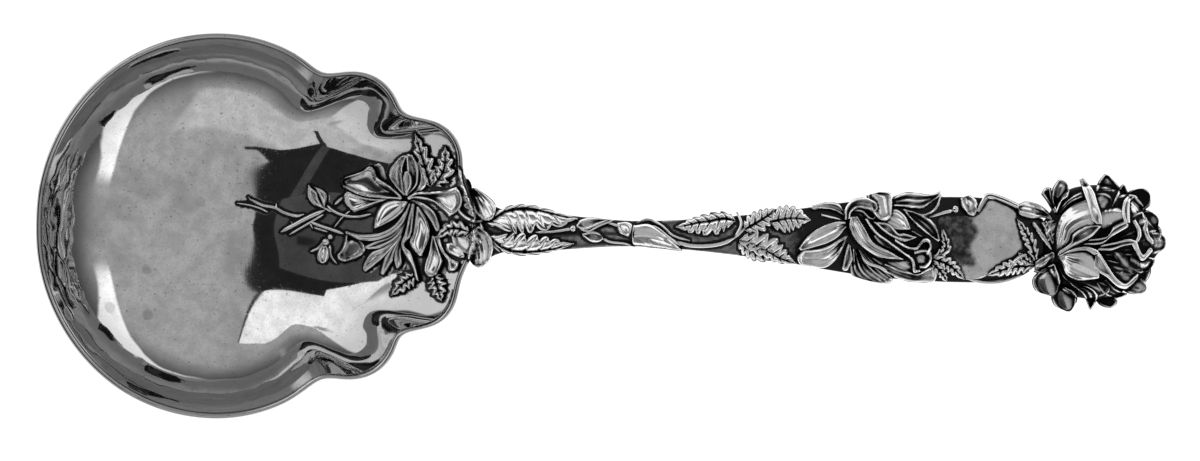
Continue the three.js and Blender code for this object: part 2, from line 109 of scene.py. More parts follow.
def evened(curve, reach):
    weights = np.exp(-0.5 * (np.arange(-RIM_WINDOW, RIM_WINDOW + 1) / reach) ** 2)
    return np.convolve(np.tile(curve, 3), weights / weights.sum(), "same")[RIM_STEPS:2 * RIM_STEPS]


RIM_CURVES = [evened(lobed_rim(RIM_ANGLES), reach) for reach in RIM_REACHES]


def at_angle(curve, angle):
    return np.interp(angle, RIM_ANGLES, curve, period=2 * math.pi)


def rim_radius(angle):
    return at_angle(RIM_CURVES[0], angle)


def eased_rim(angle, inward):
    curves = np.array([at_angle(curve, angle) for curve in RIM_CURVES])
    last = len(RIM_CURVES) - 1
    first = np.minimum((inward * last).astype(int), last - 1)
    each = np.arange(len(angle))
    low, high = curves[first, each], curves[first + 1, each]
    return low + (high - low) * (inward * last - first)


print("rim at toe and heel:", rim_radius(np.array([math.pi, 0.0])).round(1), "mm")

# %% [markdown]
# ## The hollow of the bowl
# The bowl has a broad, hardly hollowed floor and a wall that turns up quickly,
# later at the sides than at the toe, and slowly at the heel. One height formula
# over the share of the way to the rim gives all of it. Near the rim that share is
# taken to the lobed rim, further in to an evened-out one, so the lobes run inward
# as short flutes that fade out. A mirror finish shows every bump, so a formula is
# safer here than pushing vertices about.

# %% Depth of the bowl
BOWL_DEPTH = 16.0
BOWL_WALL = 1.0
FLOOR_PART = 0.2


def dish(x, y, foot=0.08, side=4.6, toe=3.5, heel=2.3):
    angle = np.arctan2(y, x)
    radius = np.hypot(x, y)
    start = 0.5 + 0.15 * smooth_step((50 - np.degrees(np.abs(angle))) / 8)
    inward = 1 - smooth_step((radius / rim_radius(angle) - start) / (0.98 - start))
    share = np.minimum(1, radius / eased_rim(angle, inward))
    up = np.maximum(0, (share - foot) / (1 - foot))
    at_heel = ((1 + np.cos(angle)) / 2) ** 8
    at_toe = ((1 - np.cos(angle)) / 2) ** 4
    turn = side + (heel - side) * at_heel + (toe - side) * at_toe
    return BOWL_WALL + BOWL_DEPTH * (FLOOR_PART * up**2 + (1 - FLOOR_PART) * up**turn)


print("depth at the middle and the rim:", dish(np.array([0.0, 38.0]), np.zeros(2)).round(1))

# %% [markdown]
# ## The line of the handle
# The shank leaves the heel under the bowl, arches up, and comes down again to
# the rose. A smooth curve through a few stations is how a draughtsman would set
# it out, so the same curve is used for its line, its half width, and how much
# its top and its back swell.

# %% Stations of the shank
SHANK_END = 166.0
ROSE_LEVEL = 6.3
SHANK_EDGE = 0.9
LINE = [(39, 5.8), (45, 9.8), (53, 15.4), (68, 20.9), (91, 22.5), (123, 16.7), (SHANK_END, ROSE_LEVEL)]
HALF_WIDTH = [(39, 1.6), (46, 4.6), (52, 5.8), (57, 4.2), (66, 3.7), (84, 2.6), (108, 4.5),
              (130, 7.7), (150, 8.7), (160, 7.6), (SHANK_END, 4.4)]
CROWN = [(39, 0.5), (46, 0.8), (57, 1.4), (84, 1.4), (108, 1.2), (SHANK_END, 1.2)]
BELLY = [(39, 0.3), (46, 0.7), (57, 1.4), (84, 1.2), (108, 1.0), (SHANK_END, 0.9)]


def shank_top(x, y):
    across = np.clip(y / through(HALF_WIDTH, x), -1.25, 1.25)
    return through(LINE, x) + SHANK_EDGE / 2 + through(CROWN, x) * (1 - across**2)


print("arch of the shank:", through(LINE, np.array([91.0]))[0].round(1), "mm")

# %% [markdown]
# ## What the ornament stands on
# Every leaf and petal is soldered down on the bowl, on the shank or on the round
# core of the end rose. A single ground height lets one helper lay a piece on any
# of them, so nothing floats and nothing has to be fitted by eye.

# %% Ground under the ornament
ROSE_FLATNESS = 0.37
ROSE_WIDTH = [(164, 2.0), (166, 4.0), (168, 7.0), (170.5, 10.2), (174, 11.4), (179, 11.4), (184, 8.8),
              (188, 4.0), (190.5, 0.6)]


def ground(x, y):
    past = np.hypot(x, y) - rim_radius(np.arctan2(y, x))
    share = smooth_step((past + 0.3) / 1.3)
    inside = dish(x, y) + 0.45 * smooth_step(past + 1)
    return inside + (shank_top(x, y) - inside) * share


def rose_ground(x, y):
    width = through(ROSE_WIDTH, x)
    return ROSE_LEVEL + ROSE_FLATNESS * np.sqrt(np.maximum(width**2 - y**2, 0))


print("ground at the bowl rose and the handle rose:",
      ground(np.array([36.0, 127.0]), np.array([3.0, 1.0])).round(1))

# %% [markdown]
# ## From a bmesh to a piece
# Each piece of the spoon is its own object, sits at the origin and carries its
# place in its mesh. It rides on the spoon's one body, stands for the CAD node of
# the same name unless others are given, and takes one of the two silver finishes.
# Sharp corners are marked by angle, so polished faces stay smooth while cut edges
# stay crisp.

# %% Placing a piece
SHARP_ANGLE = 0.75
pieces = {}


def place(name, forms, nodes=None, slot="oxidised_silver"):
    nodes = nodes or [name.replace("-", "_")]
    whole = bmesh.new()
    for form in forms:
        part = bpy.data.meshes.new("part")
        form.to_mesh(part)
        form.free()
        whole.from_mesh(part)
        bpy.data.meshes.remove(part)
    bmesh.ops.recalc_face_normals(whole, faces=whole.faces[:])
    for face in whole.faces:
        face.smooth = True
    for edge in whole.edges:
        edge.smooth = edge.calc_face_angle(0.0) < SHARP_ANGLE
    bmesh.ops.scale(whole, vec=(MM, MM, MM), verts=whole.verts[:])
    mesh = bpy.data.meshes.new(name)
    whole.to_mesh(mesh)
    whole.free()
    piece = bpy.data.objects.new(name, mesh)
    bpy.context.collection.objects.link(piece)
    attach(piece, "root")
    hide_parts(*nodes)
    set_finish(piece, slot)
    pieces[name] = piece
    return piece


# %% [markdown]
# ## The bowl
# A silversmith raises the bowl from a disc. Here a small disc from create_circle
# is the middle of the floor, and its rim is extruded ring after ring up the
# inside, over the rolled lip, and down the outside to the flat foot. A grid would
# cut across the rim, while rings follow it exactly.

# %% Rings of the bowl
RAYS = 440
FOOT_SHARE = 0.26
OUTER_TURNS = (4.2, 3.2, 2.3)
NUDGE = 0.02
LIP_INSET, LIP_HALF_WIDTH = 0.12, 0.55
LIP_RAISE, LIP_HALF_HEIGHT = 0.15, 0.5


def bowl_angles():
    even = np.linspace(-math.pi, math.pi, 4001)
    pull = 1 + 2.2 * np.exp(-(even / 0.75) ** 4)
    way = np.concatenate([[0], np.cumsum((pull[1:] + pull[:-1]) / 2)])
    return np.sort(np.interp(np.arange(RAYS) / RAYS * way[-1], way, even) % (2 * math.pi))


def outer_dish(x, y):
    return dish(x, y, FOOT_SHARE, *OUTER_TURNS)


def wall_ring(share, drop=0.0):
    angle = bowl_angles()
    radius = share * rim_radius(angle)
    x, y = radius * np.cos(angle), radius * np.sin(angle)
    if not drop:
        return np.column_stack([x, y, dish(x, y)])
    slope_x = (outer_dish(x + NUDGE, y) - outer_dish(x - NUDGE, y)) / (2 * NUDGE)
    slope_y = (outer_dish(x, y + NUDGE) - outer_dish(x, y - NUDGE)) / (2 * NUDGE)
    length = np.sqrt(1 + slope_x**2 + slope_y**2)
    z = outer_dish(x, y) - drop / length
    return np.column_stack([x + drop * slope_x / length, y + drop * slope_y / length, z])


def lip_ring(turn):
    angle = bowl_angles()
    radius = rim_radius(angle) - LIP_INSET - LIP_HALF_WIDTH * math.cos(turn)
    height = BOWL_WALL + BOWL_DEPTH + LIP_RAISE + LIP_HALF_HEIGHT * math.sin(turn)
    return np.column_stack([radius * np.cos(angle), radius * np.sin(angle), np.full(RAYS, height)])


# %% Raising the bowl
def grow_rings(rings):
    form = bmesh.new()
    bmesh.ops.create_circle(form, cap_ends=True, segments=len(rings[0]), radius=1)
    loop = sorted(form.verts, key=lambda v: math.atan2(v.co.y, v.co.x) % (2 * math.pi))
    edge = form.edges[:]
    for vert, co in zip(loop, rings[0]):
        vert.co = co
    for ring in rings[1:]:
        grown = bmesh.ops.extrude_edge_only(form, edges=edge)["geom"]
        fresh = {g for g in grown if isinstance(g, bmesh.types.BMVert)}
        edge = [g for g in grown if isinstance(g, bmesh.types.BMEdge) and set(g.verts) <= fresh]
        place_of = {v: i for i, v in enumerate(loop)}
        for vert in fresh:
            back = next(e.other_vert(vert) for e in vert.link_edges if e.other_vert(vert) in place_of)
            loop[place_of[back]] = vert
        for vert, co in zip(loop, ring):
            vert.co = co
    bmesh.ops.holes_fill(form, edges=edge)
    return form


UP_SHARES = np.concatenate([np.linspace(0.02, 0.9, 96), np.linspace(0.91, 0.985, 9)])
DOWN_SHARES = np.concatenate([[0.985], np.linspace(0.96, 0.04, 40)])
inside = [wall_ring(share) for share in UP_SHARES]
lip = [lip_ring(turn) for turn in np.radians([25, 50, 75, 100, 125, 150, 175])]
outside = [wall_ring(share, BOWL_WALL) for share in DOWN_SHARES]
bowl = place("raised-bowl", [grow_rings(inside + lip + outside)], ["bowl"], "polished_silver")
print("bowl faces:", len(bowl.data.polygons))

# %% [markdown]
# ## The shank
# The shank is one bar, narrow in the middle and wide at the plaque. Its section
# is a flat oval with a rounded edge. The same rings make it: a small circle is
# extruded station by station along the arched line.

# %% Drawing out the shank
SHANK_SIDES = 120
SHANK_STATIONS = 350


def shank_ring(x):
    turn = np.linspace(0, 2 * math.pi, SHANK_SIDES, endpoint=False)
    here, up = np.array([x]), np.sin(turn)
    swell = np.where(up > 0, through(CROWN, here), through(BELLY, here))
    across = through(HALF_WIDTH, here) * np.cos(turn)
    height = SHANK_EDGE / 2 * np.tanh(4 * up) + np.sign(up) * swell * up**2
    return np.column_stack([np.full(SHANK_SIDES, x), across, through(LINE, here) + height])


bar = grow_rings([shank_ring(x) for x in np.linspace(LINE[0][0], SHANK_END, SHANK_STATIONS)])
shank = place("arched-shank", [bar], ["shank"], "polished_silver")
print("shank faces:", len(shank.data.polygons))

# %% [markdown]
# ## A petal in relief
# A cast petal has two edges that run from its root to its tip. Lofting by hand
# would need many loops, so a create_grid sheet is stretched between the two edges
# instead. Its height follows a few things a carver thinks of: how high root and
# tip stand, how much the middle is crowned or hollowed, a rolled rim, ribs, and a
# ruffled edge. extrude_face_region then drops a copy to the ground to close it.

# %% Sheets and trails
LOWEST = 0.05
SUNK = 0.3


def sheet(along_steps, across_steps):
    form = bmesh.new()
    bmesh.ops.create_grid(form, x_segments=across_steps, y_segments=along_steps, size=1)
    spots = np.array([v.co.xy for v in form.verts])
    across = 0.5 * spots[:, 0] + 0.5 * np.sin(spots[:, 0] * math.pi / 2)
    return form, across, (spots[:, 1] + 1) / 2


def trail(points, t):
    path = np.array(points, float)
    knots = np.concatenate([[0], np.cumsum(np.hypot(*np.diff(path, axis=0).T))])
    knots /= knots[-1]
    return np.column_stack([through(np.column_stack([knots, path[:, k]]), t) for k in (0, 1)])


def headings(path, t, step=0.02):
    ahead = trail(path, np.minimum(t + step, 1)) - trail(path, np.maximum(t - step, 0))
    return ahead / np.maximum(np.hypot(*ahead.T), 1e-6)[:, None]


def stand(form, plan, height, under):
    base = under(plan[:, 0], plan[:, 1])
    for vert, spot, low, over in zip(form.verts, plan, base, height):
        vert.co = (spot[0], spot[1], low + max(over, LOWEST))
    dropped = bmesh.ops.extrude_face_region(form, geom=form.faces[:])["geom"]
    feet = [g for g in dropped if isinstance(g, bmesh.types.BMVert)]
    where = np.array([v.co.xy for v in feet])
    for vert, low in zip(feet, under(where[:, 0], where[:, 1])):
        vert.co.z = low - SUNK
    return form


# %% A petal between two edges
TIP_ENDS = np.array([0.8, 1.0])
CROWN_LIFT = 1.4
RIM_LIFT = 1.35


def petal(left, right, root=0.6, tip=1.4, crown=0.3, rim=0.3, ribs=0, rib=0.12,
          ruffle=0.0, waves=3.0, round_tip=0.6, size=(48, 26), under=ground):
    form, across, along = sheet(*size)
    start, end = trail(left, along), trail(right, along)
    plan = start + (end - start) * ((across + 1) / 2)[:, None]
    wide = np.maximum(np.hypot(*(end - start).T), 0.05)
    end_on = np.diff(trail(left, TIP_ENDS) + trail(right, TIP_ENDS), axis=0)
    bulge = round_tip * wide / 2 * (1 - across**2) * smooth_step(2 * along - 1)
    plan += end_on / np.hypot(*end_on[0]) * bulge[:, None]
    long = np.hypot(*np.diff(trail(left, np.linspace(0, 1, 20)), axis=0).T).sum()
    edge = np.minimum((1 - np.abs(across)) * wide / 2, (1 - along) * long)
    height = root + (tip - root) * smooth_step(along)
    height += CROWN_LIFT * crown * (1 - across**2) * np.minimum(1, wide / 3)
    furrow = (0.8 - 0.7 * smooth_step((wide - 1.8) / 2.2)) * np.exp(-((edge - 1.0) / 0.42) ** 2)
    height += RIM_LIFT * rim * (np.exp(-((edge - 0.3) / 0.3) ** 2) - furrow)
    height += rib * np.cos(math.pi * ribs * across) * np.sin(math.pi * along**0.7) * (ribs > 0)
    height += ruffle * np.sin(2 * math.pi * waves * along + 2 * across) * np.abs(across) ** 1.5
    return stand(form, plan, height, under)


# %% [markdown]
# ## A leaf in relief
# Rose leaves have saw teeth, a sunk midrib, and side veins that lean forward. The
# sheet now follows the midrib. Its width carries the teeth, and the same slanted
# wave that makes the teeth sinks a vein between each pair of pillows, deepest by
# the midrib. A leaf that is bent over an edge shows one wide and one narrow side.

# %% A toothed leaf
def leaf(path, half, teeth=6, root=0.4, rise=1.15, jagged=0.45, skew=0.0, lean=0.6):
    form, across, along = sheet(14 * teeth, 24)
    middle, ahead = trail(path, along), headings(path, along)
    even = along + 0.025 * np.sin(9 * along + 5 * half)
    step = (teeth * even - lean) % 1
    tooth = np.sin(math.pi * step**1.5) ** 0.6
    tooth += jagged * (np.minimum(step / 0.85, (1 - step) / 0.15) - tooth)
    fade = smooth_step((1 - along) / 0.2)
    swell = np.sin(math.pi * np.clip(along, 0.004, 0.996) ** 0.72) ** 0.75
    wide = half * np.maximum(swell * (0.78 - 0.3 * jagged + (0.22 + 0.3 * jagged) * tooth * fade), 0.06)
    wide = wide * (1 + skew * np.sign(across))
    plan = middle + np.column_stack([-ahead[:, 1], ahead[:, 0]]) * (across * wide)[:, None]
    out = np.abs(across)
    vein = (teeth * even - lean * out**1.3) % 1
    groove = fade * np.exp(-(np.minimum(vein, 1 - vein) / 0.12) ** 2)
    groove *= 1 - 0.55 * smooth_step((out - 0.25) / 0.4)
    pillow = np.clip(1 - ((out - 0.5) / 0.62) ** 2, 0, 1)
    height = root + rise * (0.25 + 0.75 * pillow * (1 - 0.75 * groove)) * (0.4 + 0.6 * swell)
    height -= 0.45 * rise * np.exp(-((out / 0.1) ** 2)) * (1 - along)
    return stand(form, plan, height, ground)


# %% [markdown]
# ## Twigs, stems and knobs
# A twig is a thin round rod that is soldered down along its length. A ring is
# grown along its path, a little above the ground. Thorns are small cones, and the
# knobs under buds are squeezed spheres.

# %% Rods and knobs
ROD_STEPS, ROD_SIDES = 40, 10
THORN_THICK, THORN_OVER = 0.22, 0.4
KNOB_FLATNESS = 0.8


def level_at(x, y):
    return ground(np.array([x]), np.array([y]))[0]


def rod(path, first, last, over=0.35):
    t = np.linspace(0, 1, ROD_STEPS)
    middle, ahead = trail(path, t), headings(path, t)
    thick = first + (last - first) * t
    thick = thick * np.minimum(1, 0.3 + 6 * np.minimum(t, 1 - t))
    level = ground(middle[:, 0], middle[:, 1]) + over
    turn = np.linspace(0, 2 * math.pi, ROD_SIDES, endpoint=False)
    rings = []
    for (x, y), (dx, dy), r, z in zip(middle, ahead, thick, level):
        out, up = r * np.cos(turn), r * np.sin(turn)
        rings.append(np.column_stack([x - dy * out, y + dx * out, z + up]))
    return grow_rings(rings)


def thorn(x, y, heading, length):
    form = bmesh.new()
    bmesh.ops.create_cone(form, cap_ends=True, segments=8, radius1=THORN_THICK, radius2=0.03, depth=length)
    level = level_at(x, y) + THORN_OVER
    dx, dy = math.cos(heading), math.sin(heading)
    for vert in form.verts:
        side, up, along = vert.co.x, vert.co.y, vert.co.z + length / 2
        vert.co = (x + dx * along - dy * side, y + dy * along + dx * side, level + up)
    return form


def knob(x, y, size, over):
    form = bmesh.new()
    bmesh.ops.create_uvsphere(form, u_segments=18, v_segments=10, radius=size)
    bmesh.ops.scale(form, vec=(1, 1, KNOB_FLATNESS), verts=form.verts[:])
    bmesh.ops.translate(form, vec=(x, y, level_at(x, y) + over), verts=form.verts[:])
    return form


# %% [markdown]
# ## The rose in the bowl
# An open rose lies in the heel. Its petals fan out from a hub near the upper
# side: a sail-like pair to the left, folded ones above, a trumpet to the right,
# and a spread of narrow ones below. Each is a petal between two edges, laid from
# the outermost to the uppermost so that the later ones stand higher.

# %% Lower fan of the bowl rose
place("bowl-rose-lower-fan", [
    petal([(37.5, 6), (40, 5.3), (42.4, 3.4), (43.5, 0.7)],
          [(37.5, 5.8), (39.4, 4.3), (41.3, 2), (42.5, -0.2)], 0.9, 0.7, 0.2, 0.25, ribs=2),
    petal([(41.7, -1.1), (41.2, -4.4), (40.5, -6.8), (40.4, -8.3)],
          [(42.5, -1.4), (43.4, -4.1), (44.1, -6.4), (43, -9)], 0.7, 1.3, 0.4),
    petal([(42.5, -1.4), (43.8, -4.4), (45.1, -6.1), (45.4, -8.1)],
          [(43.4, -1), (44.4, -4), (46.2, -5.9), (47.4, -6.4)], 0.6, 1.1, 0.1, ribs=3),
    petal([(44.6, -2.9), (45, -4.5), (47.3, -5.4)], [(46.1, -2.5), (48, -3.3), (48.7, -5)],
          0.5, 0.9, 0.7, 0.15),
    petal([(35.4, -1.7), (34.5, -3.6), (34.2, -5.9), (34.6, -7.6)],
          [(35.9, -2.7), (35.7, -4.9), (35.9, -6.7), (35.3, -7.8)], 0.8, 1.0, 0.3, 0.2),
    petal([(35.4, -1.2), (33.4, -3.9), (32.3, -6), (31.5, -8.7)],
          [(35.8, -1.5), (34.4, -4.6), (33.8, -6.6), (32.3, -9.2)], 1.0, 1.2, 0.3, 0.25),
    petal([(36.4, 1.9), (34.4, -1.9), (31.8, -3.9), (29.4, -5), (28.2, -7.1)],
          [(36.3, 0.5), (34.8, -2.7), (33.3, -4.4), (31, -6.7), (28.5, -8.7)], 1.1, 1.3, 0.2, 0.3, ribs=2),
    petal([(36.9, 3.8), (36, 1.5), (33.4, -1.3), (30.4, -2.5), (28.4, -3.4)],
          [(37.2, 3.3), (36.5, 1), (34.6, -1.9), (31.7, -3.7), (29, -4.3)], 1.3, 1.4, 0.3, 0.3),
], ["bowl_rose"])

# %% Upper petals of the bowl rose
place("bowl-rose-upper-petals", [
    petal([(37, 6.9), (38.9, 8.7), (39.3, 11.1), (38.4, 13.5)],
          [(37.4, 7), (40.3, 8.6), (40.4, 11.1), (39.3, 13.2)], 0.8, 1.2, 0.3, 0.3, ribs=2),
    petal([(35.6, 7.1), (33.9, 9), (32.8, 10.8), (33.1, 12.1), (35, 14.5)],
          [(36.4, 6.9), (36, 8.6), (35.7, 11), (35.8, 12.9), (36.5, 14.8)], 1.0, 1.7, 0.5, 0.35, ribs=2),
    petal([(36.2, 6.9), (36.5, 8.7), (36.7, 10.7), (36.5, 12.5), (36.3, 14.8)],
          [(36.8, 6.9), (38.6, 8.9), (38.9, 11.1), (38.7, 13.1), (37.7, 15)], 1.1, 1.8, 0.3, 0.35, ribs=2),
    petal([(36.2, 7), (36.1, 8.6), (35.8, 10.3), (36, 11.4)],
          [(36.6, 7), (37.5, 8.7), (37.6, 10.4), (37, 11.6)], 1.7, 2.1, 0.5, 0.2),
    petal([(36.6, 6.6), (38.6, 7.5), (42, 7.7), (44.7, 8.1), (46.7, 8.7)],
          [(37, 6.1), (39.3, 6.3), (42.1, 5.6), (44, 4.1), (45.4, 2.8)], 1.3, 2.1, -0.5, 0.4, ruffle=0.15),
], ["bowl_rose"])

# %% Sail, ribbon and shield petals
place("bowl-rose-sail", [
    petal([(35.4, 6.1), (32.6, 6.1), (29.2, 6.2), (26.8, 6.7), (24.5, 7.6)],
          [(35.4, 5.8), (33.3, 6), (30.2, 5), (27.6, 3.9), (26, 3.3)], 1.3, 1.6, 0.3, 0.35),
    petal([(35.7, 6.5), (33.4, 8.5), (30.5, 10.4), (29.8, 12), (28.9, 12.6), (27.4, 11.6), (24, 10.3)],
          [(35.4, 6.1), (32.6, 6.2), (29.5, 6.4), (26.8, 6.9), (24.8, 7.8), (23.7, 8.4), (23.3, 9)],
          1.5, 2.4, -0.6, 0.5, ruffle=0.2, waves=1.5, size=(60, 30)),
], ["bowl_rose"])
place("bowl-rose-ribbons", [
    petal([(36.1, 5.8), (33.7, 5.9), (31.6, 5), (30.4, 2.8), (30.1, 0.4)],
          [(36.9, 5.5), (36.1, 3.8), (34.3, 2.1), (32.3, 0.9), (30.2, 0)], 1.4, 1.7, 0.9, 0.2),
    petal([(37.1, 5.3), (35.8, 2.8), (33.7, 0.5), (30.7, -0.9), (27.3, -1.3), (24.3, -0.6)],
          [(37.4, 5.1), (36.7, 2.7), (35.7, 0.8), (33.4, -1.2), (30.4, -2.3), (27.3, -2.3), (24.3, -1)],
          1.8, 2.1, 0.4, 0.35, size=(60, 22)),
    petal([(37.7, 5.3), (37, 2.4), (36.4, -0.8), (35.7, -2.9), (36.2, -4.6), (38, -7.5), (38.8, -10)],
          [(38.2, 5.1), (38.1, 1.9), (37.7, -1.1), (36.3, -3.1), (37.6, -4.6), (38.4, -6.7), (39.4, -10.3)],
          2.0, 2.0, 0.2, 0.35, size=(60, 20)),
    petal([(38.6, 4.6), (38.3, 1.9), (38, -0.8), (37.4, -2.8), (39.1, -5)],
          [(39.1, 4.6), (40.6, 2.3), (41.4, 0), (41.2, -2.1), (40, -5.2)], 1.8, 2.5, 0.7, 0.35),
], ["bowl_rose", "bowl_rose_heart"])
print("pieces so far:", len(pieces))

# %% [markdown]
# ## Leaves, buds and twigs of the bowl
# Two leaves rise above the rose and two hang below it, with a small one at its
# side. Thorny twigs and two buds reach out over the floor of the bowl.

# %% Leaves round the bowl rose
place("bowl-leaf-upper", [leaf([(41.5, 8.8), (39.9, 13.8), (38.1, 19.4)], 2.2, 5, jagged=0.9)])
place("bowl-leaf-upper-heel", [leaf([(42.1, 8.9), (44.1, 12.2), (44.3, 16.9)], 2.3, 5, jagged=0.9)])
place("bowl-leaf-lower", [leaf([(39.1, -9), (36.4, -10.8), (33.8, -13.5)], 1.9, 5, jagged=0.9)])
place("bowl-leaf-lower-heel", [leaf([(42.3, -8.9), (43.2, -11.5), (44.1, -14.4)], 2.1, 5, jagged=0.9)])
place("bowl-leaf-side", [leaf([(49.4, -0.2), (45.9, 0.4), (42.8, -1.6)], 1.7, 5, 0.8)])

# %% Buds over the floor
place("bud-upper", [
    petal([(16.4, 8.7), (16.4, 6.4), (17.6, 4.7), (19.3, 4)],
          [(16.8, 8.4), (18.2, 7.1), (18.8, 5.6), (19.6, 4.2)], 0.7, 1.0, 0.5, 0.25),
    petal([(16.6, 8.7), (18, 7.9), (18.8, 6.2), (19.6, 4.4)],
          [(17, 8.5), (19.2, 7.7), (20.2, 6.6), (19.9, 4.4)], 0.9, 1.2, 0.5, 0.25),
    rod([(20, 4.8), (21.6, 3.5), (23.9, 2.6), (26.5, 2.4), (29.3, 3)], 0.32, 0.3),
    rod([(18.4, 5.2), (19.7, 4.1), (21.2, 3.3)], 0.24, 0.2, 0.7),
])
place("bud-bell", [
    petal([(19.2, -3.6), (18.5, -5.4), (18.7, -6.6), (19.4, -7.1)],
          [(20.5, -3.8), (20.9, -5.1), (20.7, -6.4), (20, -7)], 0.6, 0.9, 0.6, 0.2, ribs=2),
    rod([(19.9, -2.9), (18.8, -4.1), (17.1, -4.9)], 0.42, 0.2, 0.5),
    rod([(21, -3.5), (21.3, -5.6), (22.5, -7.2)], 0.36, 0.16, 0.5),
    knob(20.2, -2.9, 0.75, 0.8),
    knob(21.1, -1.8, 0.55, 0.6),
])
place("bud-petal", [
    petal([(24.3, -0.9), (24.1, -2.7), (23.5, -4.4), (22.7, -5.4)],
          [(24.7, -0.8), (26.9, -2.1), (28.3, -3.9), (27.2, -5.6), (24.2, -6.8)], 0.8, 1.2, -0.3, 0.4),
])

# %% Thorny twigs
place("twig-upper", [
    rod([(4.5, 5.6), (7.1, 4.4), (9.7, 3.9), (11.4, 3), (14.1, 2.3), (15.6, 2.7)], 0.3, 0.36, 0.3),
    thorn(4.7, 5.3, 2.2, 0.9),
    thorn(9.9, 3.9, 1.5, 0.9),
])
place("twig-far", [rod([(1.9, 4.7), (4.2, 4.4), (6.5, 3.8), (8.2, 3)], 0.14, 0.24, 0.2)])
place("twig-thorned", [
    rod([(11, -1), (13.5, 0.4), (16.4, 2), (19.8, 3.6)], 0.42, 0.46, 0.5),
    rod([(12.7, -1.5), (15.5, 0.2), (19.6, 2.7)], 0.2, 0.26, 0.3),
    thorn(13.7, 0.4, 2.4, 1.1),
])
place("twig-lower", [
    rod([(17, 1.1), (19.3, 0.3), (21.6, -0.4), (23.7, -1.1)], 0.34, 0.34, 0.4),
    rod([(17.8, 0), (20.5, -0.8)], 0.24, 0.2, 0.3),
    thorn(17, 0.7, -1.1, 1.0),
    rod([(21.9, 0.2), (23.5, 2.2), (25.2, 3.7)], 0.16, 0.2, 0.3),
    rod([(21.9, 4.8), (23.1, 5.9), (24.4, 6.7)], 0.28, 0.24, 0.5),
])
print("pieces on the bowl:", len(pieces) - 2)

# %% [markdown]
# ## The neck and the shank
# Where the bowl meets the shank, a dark leaf and a striped bud cover the joint.
# Two long leaves lie along the neck, and a vine with small buds climbs the shank.

# %% Ornament on the neck
place("heel-leaf", [leaf([(52, 1.8), (49.3, 7), (47, 12.7)], 1.9, 6, 0.5, 0.8)])
place("heel-bud", [
    petal([(49.5, 8.6), (49.9, 6.2), (50.6, 3.6), (51.9, 2.3)],
          [(50.5, 8.7), (52.8, 7.3), (54.6, 5.6), (54.8, 4.1)], 0.7, 1.1, 0.7, 0.25, ribs=5, rib=0.16),
    rod([(46.7, 6.1), (47.5, 3.8), (49.6, 2.2), (51.8, 2), (53.9, 3.9)], 0.3, 0.3, 0.9),
])
place("heel-curl", [
    petal([(48.7, -1.3), (48.9, -3.6), (49.4, -5.6), (50.2, -6.8)],
          [(51.6, 1.1), (53.8, -0.8), (54.5, -3.2), (53.8, -5.7)], 0.6, 1.0, 0.6, 0.3, ribs=5, rib=0.16),
    petal([(45.6, -1), (46.3, -3.3), (48.7, -4.6)], [(47.9, -0.6), (50, -1.9), (51.2, -4.1)],
          0.5, 0.8, 0.6, 0.25),
    rod([(51.6, 1.8), (52.8, -0.8), (54.5, -2.9), (55.8, -4.2)], 0.3, 0.22, 0.8),
])
place("neck-leaf-upper", [
    leaf([(53.1, 1.8), (55.1, 3.1), (57.1, 4.2), (60.6, 4.7), (64.4, 4.2), (67.8, 3.4), (71.4, 2.9)],
         3.15, 7, 0.4, skew=-0.7, lean=1.2),
])
place("neck-leaf-lower", [
    leaf([(53.7, -1.3), (56, -3.2), (58, -4), (60.4, -4.2), (62.5, -4.1), (64.2, -3.9), (67.7, -3.2),
          (70.7, -2.3)], 2.4, 7, 0.4, skew=0.68, lean=1.2),
])
place("neck-stem", [
    rod([(63, -0.1), (66.5, 0.1), (70.4, 0.8)], 0.24, 0.34, 0.5),
    knob(70.5, 0.8, 0.62, 0.6),
])
place("neck-curl-upper", [
    petal([(71.1, 1.6), (71.9, 2.5), (74.1, 3.1), (77.1, 2.8)],
          [(71.5, 0.9), (73.3, 0.5), (75.4, 1.5), (78, 2.7)], 0.6, 0.8, 0.5, 0.35),
    rod([(71.5, 1.1), (73.6, 0.3), (75.6, 1.4), (78.8, 2.7)], 0.24, 0.2, 0.9),
])
place("neck-curl-lower", [
    petal([(72.3, -0.1), (74.3, 0.4), (75.6, 0.1), (76.2, -0.6)],
          [(72.6, -0.8), (74.3, -1.8), (75.7, -1.8), (76.6, -1.3)], 0.5, 0.8, 0.3, 0.35),
    rod([(76.2, -0.9), (78, -1.7), (81.1, -2), (83.1, -2.6)], 0.26, 0.22, 0.4),
])

# %% Vine on the shank
place("shank-bud", [
    petal([(79.3, 1.6), (79.9, 0.1), (81.3, -0.5)], [(79.5, 2.1), (81.3, 2.3), (82.4, 1.7), (82.1, 0)],
          0.5, 1.0, 0.6, 0.25, ribs=2),
    rod([(76.8, 2.2), (78.1, 1.9), (79.7, 1.4)], 0.2, 0.3, 0.5),
])
place("shank-sheath", [
    petal([(82.9, 1.6), (85.7, 2), (88.3, 0.6), (90.6, -1.2), (92.7, -3.2)],
          [(82.8, -2.2), (85.4, -2.7), (89, -3), (92.5, -3.4)], 1.5, 0.5, 0.8, 0.25, ribs=3),
    rod([(82.9, 1.7), (82.7, -0.1), (82.9, -2.2)], 0.3, 0.3, 1.4),
])
place("shank-vine", [
    rod([(83.4, 2.2), (85.7, 2.8), (88.3, 1.7), (90.6, -0.2), (94.1, -1.2)], 0.36, 0.2, 0.6),
    rod([(84, 1.1), (86.9, 1.4), (89.8, -0.6), (92.2, -2.2)], 0.26, 0.24, 1.2),
    rod([(91, -1.3), (93.9, -2.1), (97.1, -2.2), (100.4, -1.7), (103.2, -0.5)], 0.42, 0.42, 0.5),
])
